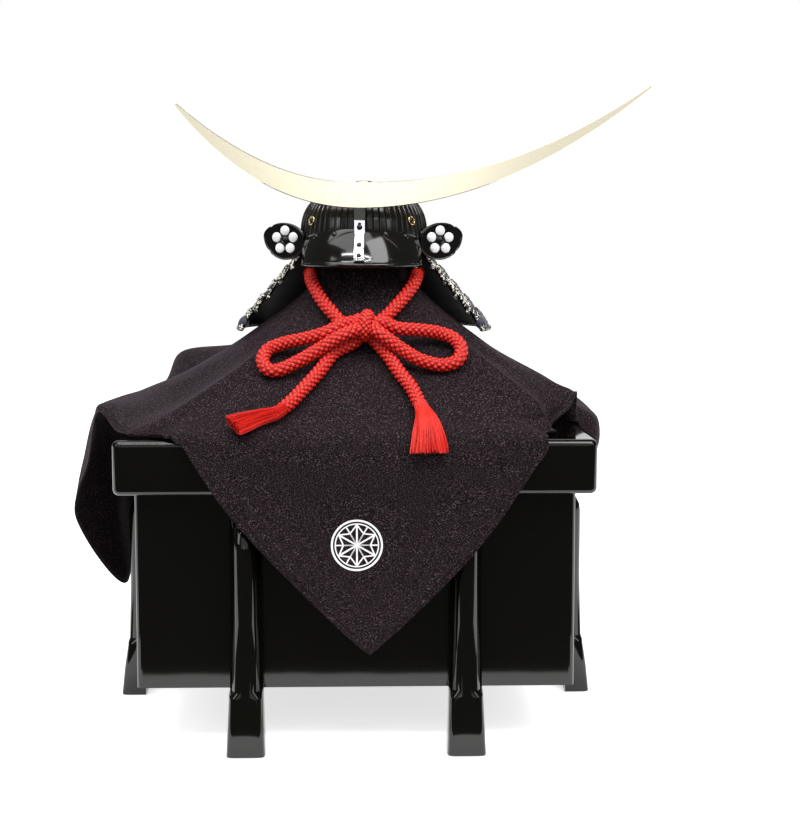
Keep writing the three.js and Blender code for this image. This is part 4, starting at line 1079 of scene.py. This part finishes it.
def turnback(side):
    """An ear-shaped plate with a raised rim."""
    scale = np.array([TURNBACK_WIDTH, TURNBACK_HEIGHT])
    outline = quadratic_path([(None if c is None else np.array(c), np.array(e)) for c, e in TURNBACK_OUTLINE], 9)[:-1]
    outline = outline * scale
    heart = outline.mean(0)
    rings = []
    for share, y in ((0, 0), (0.8, 0), (0.9, 0), (0.93, -0.35), (0.97, -0.45), (1, -0.1), (1, 0.9), (0.985, 1.2), (0.8, 1.2), (0, 1.2)):
        ring = heart + (outline - heart) * max(share, 0.02)
        rings.append(np.stack([ring[:, 0], np.full(len(ring), y), ring[:, 1]], axis=1))
    points, faces = loft(rings)
    if side < 0:
        faces = [f[::-1] for f in faces]
    name = "right" if side > 0 else "left"
    return make(f"ear_plate_{name}", on_turnback(points, side), faces, PLATE_BLACK,
                [f"turnback_{name}"], helmet=True)


def blossom(side):
    """Five round petals and a dark ringed heart."""
    centre = np.array([0.47 * TURNBACK_WIDTH, 0.53 * TURNBACK_HEIGHT])
    name = "right" if side > 0 else "left"
    petals = []
    for i in range(5):
        angle = math.radians(90 + 72 * i)
        at = centre + PETAL_RING * np.array([math.cos(angle), math.sin(angle)])
        petals.append(dome((at[0], -GAP, at[1]), PETAL_RADIUS + 0.25, 1.1, (0, -1, 0), around=28, rows=7))
    points, faces = merged(*petals)
    if side < 0:
        faces = [f[::-1] for f in faces]
    made = make(f"plum_petals_{name}", on_turnback(points, side), faces, WHITE,
                [f"blossom_{name}"], helmet=True)
    heart = [dome((centre[0], -GAP, centre[1]), 2.3, 1.6, (0, -1, 0), around=24, rows=7),
             ring_body((centre[0], -GAP - 0.2, centre[1]), (0, -1, 0), 2.45, 0.4)]
    points, faces = merged(*heart)
    if side < 0:
        faces = [f[::-1] for f in faces]
    make(f"plum_heart_{name}", on_turnback(points, side), faces, PLATE_BLACK, helmet=True)
    return made


# Neck guard

LACES = 84
LACE_TWILL = 2.1


def lame_point(number, angle, down, off):
    height = LOW_LAME_HEIGHT if number == LAMES - 1 else LAME_HEIGHT
    slant = LAME_SLANT * height / LAME_HEIGHT
    radius = LAME_TOP_RADIUS + LAME_STEP_OUT * number + slant * down
    tilt = math.hypot(slant, height)
    radius += off * height / tilt
    level = LAME_TOP - LAME_STEP_DOWN * number - height * down + off * slant / tilt
    return (radius * math.sin(angle), -BOWL_LENGTH * radius * math.cos(angle), level)


def lame(number):
    half = math.radians(LAME_HALF_ANGLE)
    section = [(0, 0), (0, 1.1), (0.03, 1.2), (0.93, 1.2), (0.95, 1.55), (0.98, 1.6), (1, 1.3), (1, 0), (0.5, 0)]
    rings = [[lame_point(number, math.pi + half * s, down, off) for down, off in section] for s in np.linspace(-1, 1, 91)]
    points, faces = loft(rings)
    return make(f"lame_{number + 1}", points, faces, DULL_BLACK, [f"neck_lame_{number + 1}"], helmet=True)


def lacing():
    """Upright laces side by side over each lame, with the slanting stitches of a flat braid."""
    half = math.radians(LAME_HALF_ANGLE - 3)
    bodies = []
    for number in range(LAMES):
        count = int(LACES * (0.62 + 0.095 * number)) * 5
        rows = 15
        across = np.linspace(-1, 1, count + 1)
        grid = []
        for r in range(rows):
            t = r / (rows - 1)
            down = 0.06 + 0.80 * t
            ease = min(1, 6 * t, 6 * (1 - t))
            ring = []
            for i, s in enumerate(across):
                lace = (i / 5) % 1 - 0.5
                arch = math.cos(math.pi * lace) ** 0.5 if abs(lace) < 0.5 else 0
                twill = 0.16 * math.sin(2 * math.pi * (t * LAME_HEIGHT * 0.8 / LACE_TWILL + 1.2 * abs(lace)))
                off = LAME_THICKNESS - 0.25 + ease * (0.85 * arch + twill * arch)
                ring.append(lame_point(number, math.pi + half * s, down, off))
            grid.append(ring)
        points = np.array(grid).reshape(-1, 3)
        bodies.append((points, [f[::-1] for f in grid_faces(rows, count + 1)]))
    points, faces = merged(*bodies)
    return make("lacing", points, faces, NAVY, helmet=True)


def edge_braids():
    """Speckled braids: an upright one down both ends of each lame, with knots between, and one along the low edge."""
    bodies = []
    for side in (-1, 1):
        angle = math.pi + side * math.radians(LAME_HALF_ANGLE - 1.2)
        for number in range(LAMES):
            for turn, size in ((0.3, 1.15), (-2.2, 0.95), (-4.4, 0.95)):
                at = angle + side * math.radians(turn)
                line = [lame_point(number, at, down, LAME_THICKNESS + 0.55) for down in np.linspace(0.04, 0.96, 12)]
                line, _ = even(np.array(line), 0.5)
                bodies.append(wavy_tube(line, size))
            knot_at = lame_point(number, angle + side * math.radians(0.6), 0.97, 0.9)
            bodies.append(dome(knot_at, 1.35, 1.3, (side * 0.4, -0.9, 0.0), around=12, rows=5))
    low = [lame_point(LAMES - 1, math.pi + math.radians(LAME_HALF_ANGLE - 1.5) * s, 0.97, LAME_THICKNESS * 0.5)
           for s in np.linspace(-1, 1, 61)]
    line, _ = even(np.array(low), 0.6)
    bodies.append(wavy_tube(line, 1.2))
    points, faces = merged(*bodies)
    return make("edge_braids", points, faces, SPECKLED, helmet=True)


def wavy_tube(line, radius, around=12, pitch=2.4):
    tangents, sides, ups = frames(line)
    turn = np.linspace(0, 2 * math.pi, around, endpoint=False)
    along = np.arange(len(line))[:, None] * 0.5
    reach = radius * (1 + 0.14 * np.sin(2 * math.pi * along / pitch + 2 * turn[None]))
    rings = line[:, None] + (sides[:, None] * np.cos(turn)[None, :, None]
                             + ups[:, None] * np.sin(turn)[None, :, None]) * reach[..., None]
    return loft(rings)


def lace_knots():
    """The dark lacing knots at the lowest corners of the neck guard."""
    bodies = []
    for side in (-1, 1):
        angle = math.pi + side * math.radians(LAME_HALF_ANGLE - 2)
        low = np.array(lame_point(LAMES - 1, angle, 0.97, 1.4))
        high = np.array(lame_point(LAMES - 1, angle, 0.42, 1.6))
        axis = high - low
        line = np.array([low + axis * t for t in np.linspace(0, 1, 9)])
        swell = np.sin(np.linspace(0.12, 0.88, 9) * math.pi) ** 0.6 * 2.8
        tangents, sides, ups = frames(line)
        turn = np.linspace(0, 2 * math.pi, 20, endpoint=False)
        rings = line[:, None] + (sides[:, None] * np.cos(turn)[None, :, None]
                                 + ups[:, None] * np.sin(turn)[None, :, None]) * swell[:, None, None]
        bodies.append(loft(rings))
    points, faces = merged(*bodies)
    return make("lace_knots", points, faces, NAVY, helmet=True)


bowl()
rivet_rings()
crown_ring()
peak()
peak_strip()
strip_rivets()
holder_lug()
crescent()
for plate_side in (-1, 1):
    turnback(plate_side)
    blossom(plate_side)
for lame_number in range(LAMES):
    lame(lame_number)
lacing()
edge_braids()
lace_knots()
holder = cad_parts["crest_holder"]
holder.data.materials.clear()
holder.data.materials.append(PLATE_BLACK)


# Studio: a pale floor, a white surround and soft boxes

FLOOR_SIZE = 6.0
FLOOR_FRONT = -0.245
SKY_FOR_MATT = 0.42
SKY_FOR_GLOSS = 0.09


def floor():
    """A pale table top: it ends a little in front of the box, and reaches far behind it."""
    data = bpy.data.meshes.new("floor")
    points = [(-FLOOR_SIZE, FLOOR_FRONT, -0.0005), (FLOOR_SIZE, FLOOR_FRONT, -0.0005),
              (FLOOR_SIZE, FLOOR_SIZE, -0.0005), (-FLOOR_SIZE, FLOOR_SIZE, -0.0005)]
    data.from_pydata(points, [], [(0, 1, 2, 3)])
    pale = material("pale_floor", (0.94, 0.94, 0.94), 0.9, specular=0.05, Emission_Strength=0.66)
    pale.node_tree.nodes["Principled BSDF"].inputs["Emission Color"].default_value = (1, 1, 1, 1)
    data.materials.append(pale)
    made = bpy.data.objects.new("floor", data)
    bpy.context.scene.collection.objects.link(made)


def soft_box(name, at, towards, size, watts):
    lamp = bpy.data.lights.new(name, "AREA")
    lamp.shape = "RECTANGLE"
    lamp.size, lamp.size_y = size
    lamp.energy = watts
    made = bpy.data.objects.new(name, lamp)
    made.location = at
    made.rotation_euler = (Vector(towards) - Vector(at)).to_track_quat("-Z", "Y").to_euler()
    bpy.context.scene.collection.objects.link(made)


floor()
soft_box("overhead", (-0.4, -0.3, 1.6), (0, 0, 0.2), (1.4, 1.0), 15)
soft_box("key_strip", (-0.25, -1.05, 1.45), (0, -0.1, 0.2), (1.3, 0.04), 10)
soft_box("behind_camera", (0, -2.1, 0.95), (0, 0, 0.3), (2.4, 1.5), 8)
soft_box("side_left", (-1.3, -0.9, 0.9), (0, 0, 0.2), (0.5, 0.9), 5)
soft_box("side_right", (1.3, -1.1, 0.9), (0, 0, 0.2), (0.5, 0.9), 4)
soft_box("rear", (0.1, 1.6, 0.8), (0, 0, 0.2), (2.4, 1.4), 10)
soft_box("key_right", (0.55, -0.75, 1.25), (0, 0, 0.27), (0.6, 0.9), 14)
soft_box("crest_glow", (-0.2, -2.0, 0.45), (0, -0.1, 0.31), (0.3, 0.4), 0.45)


def studio_world():
    """White behind everything, a pale sky for matt surfaces and a dim one for gloss."""
    world = bpy.data.worlds.new("studio")
    world.use_nodes = True
    tree = world.node_tree
    path = tree.nodes.new("ShaderNodeLightPath")
    shades = []
    for grey in (SKY_FOR_MATT, SKY_FOR_GLOSS, 1.0):
        shade = tree.nodes.new("ShaderNodeBackground")
        shade.inputs["Color"].default_value = (grey, grey, grey, 1)
        shades.append(shade)
    lower, upper = tree.nodes.new("ShaderNodeMixShader"), tree.nodes.new("ShaderNodeMixShader")
    tree.links.new(path.outputs["Is Glossy Ray"], lower.inputs["Fac"])
    tree.links.new(shades[0].outputs["Background"], lower.inputs[1])
    tree.links.new(shades[1].outputs["Background"], lower.inputs[2])
    tree.links.new(path.outputs["Is Camera Ray"], upper.inputs["Fac"])
    tree.links.new(lower.outputs["Shader"], upper.inputs[1])
    tree.links.new(shades[2].outputs["Background"], upper.inputs[2])
    tree.links.new(upper.outputs["Shader"], tree.nodes["World Output"].inputs["Surface"])
    bpy.context.scene.world = world


studio_world()
bpy.context.scene.view_settings.view_transform = "Standard"
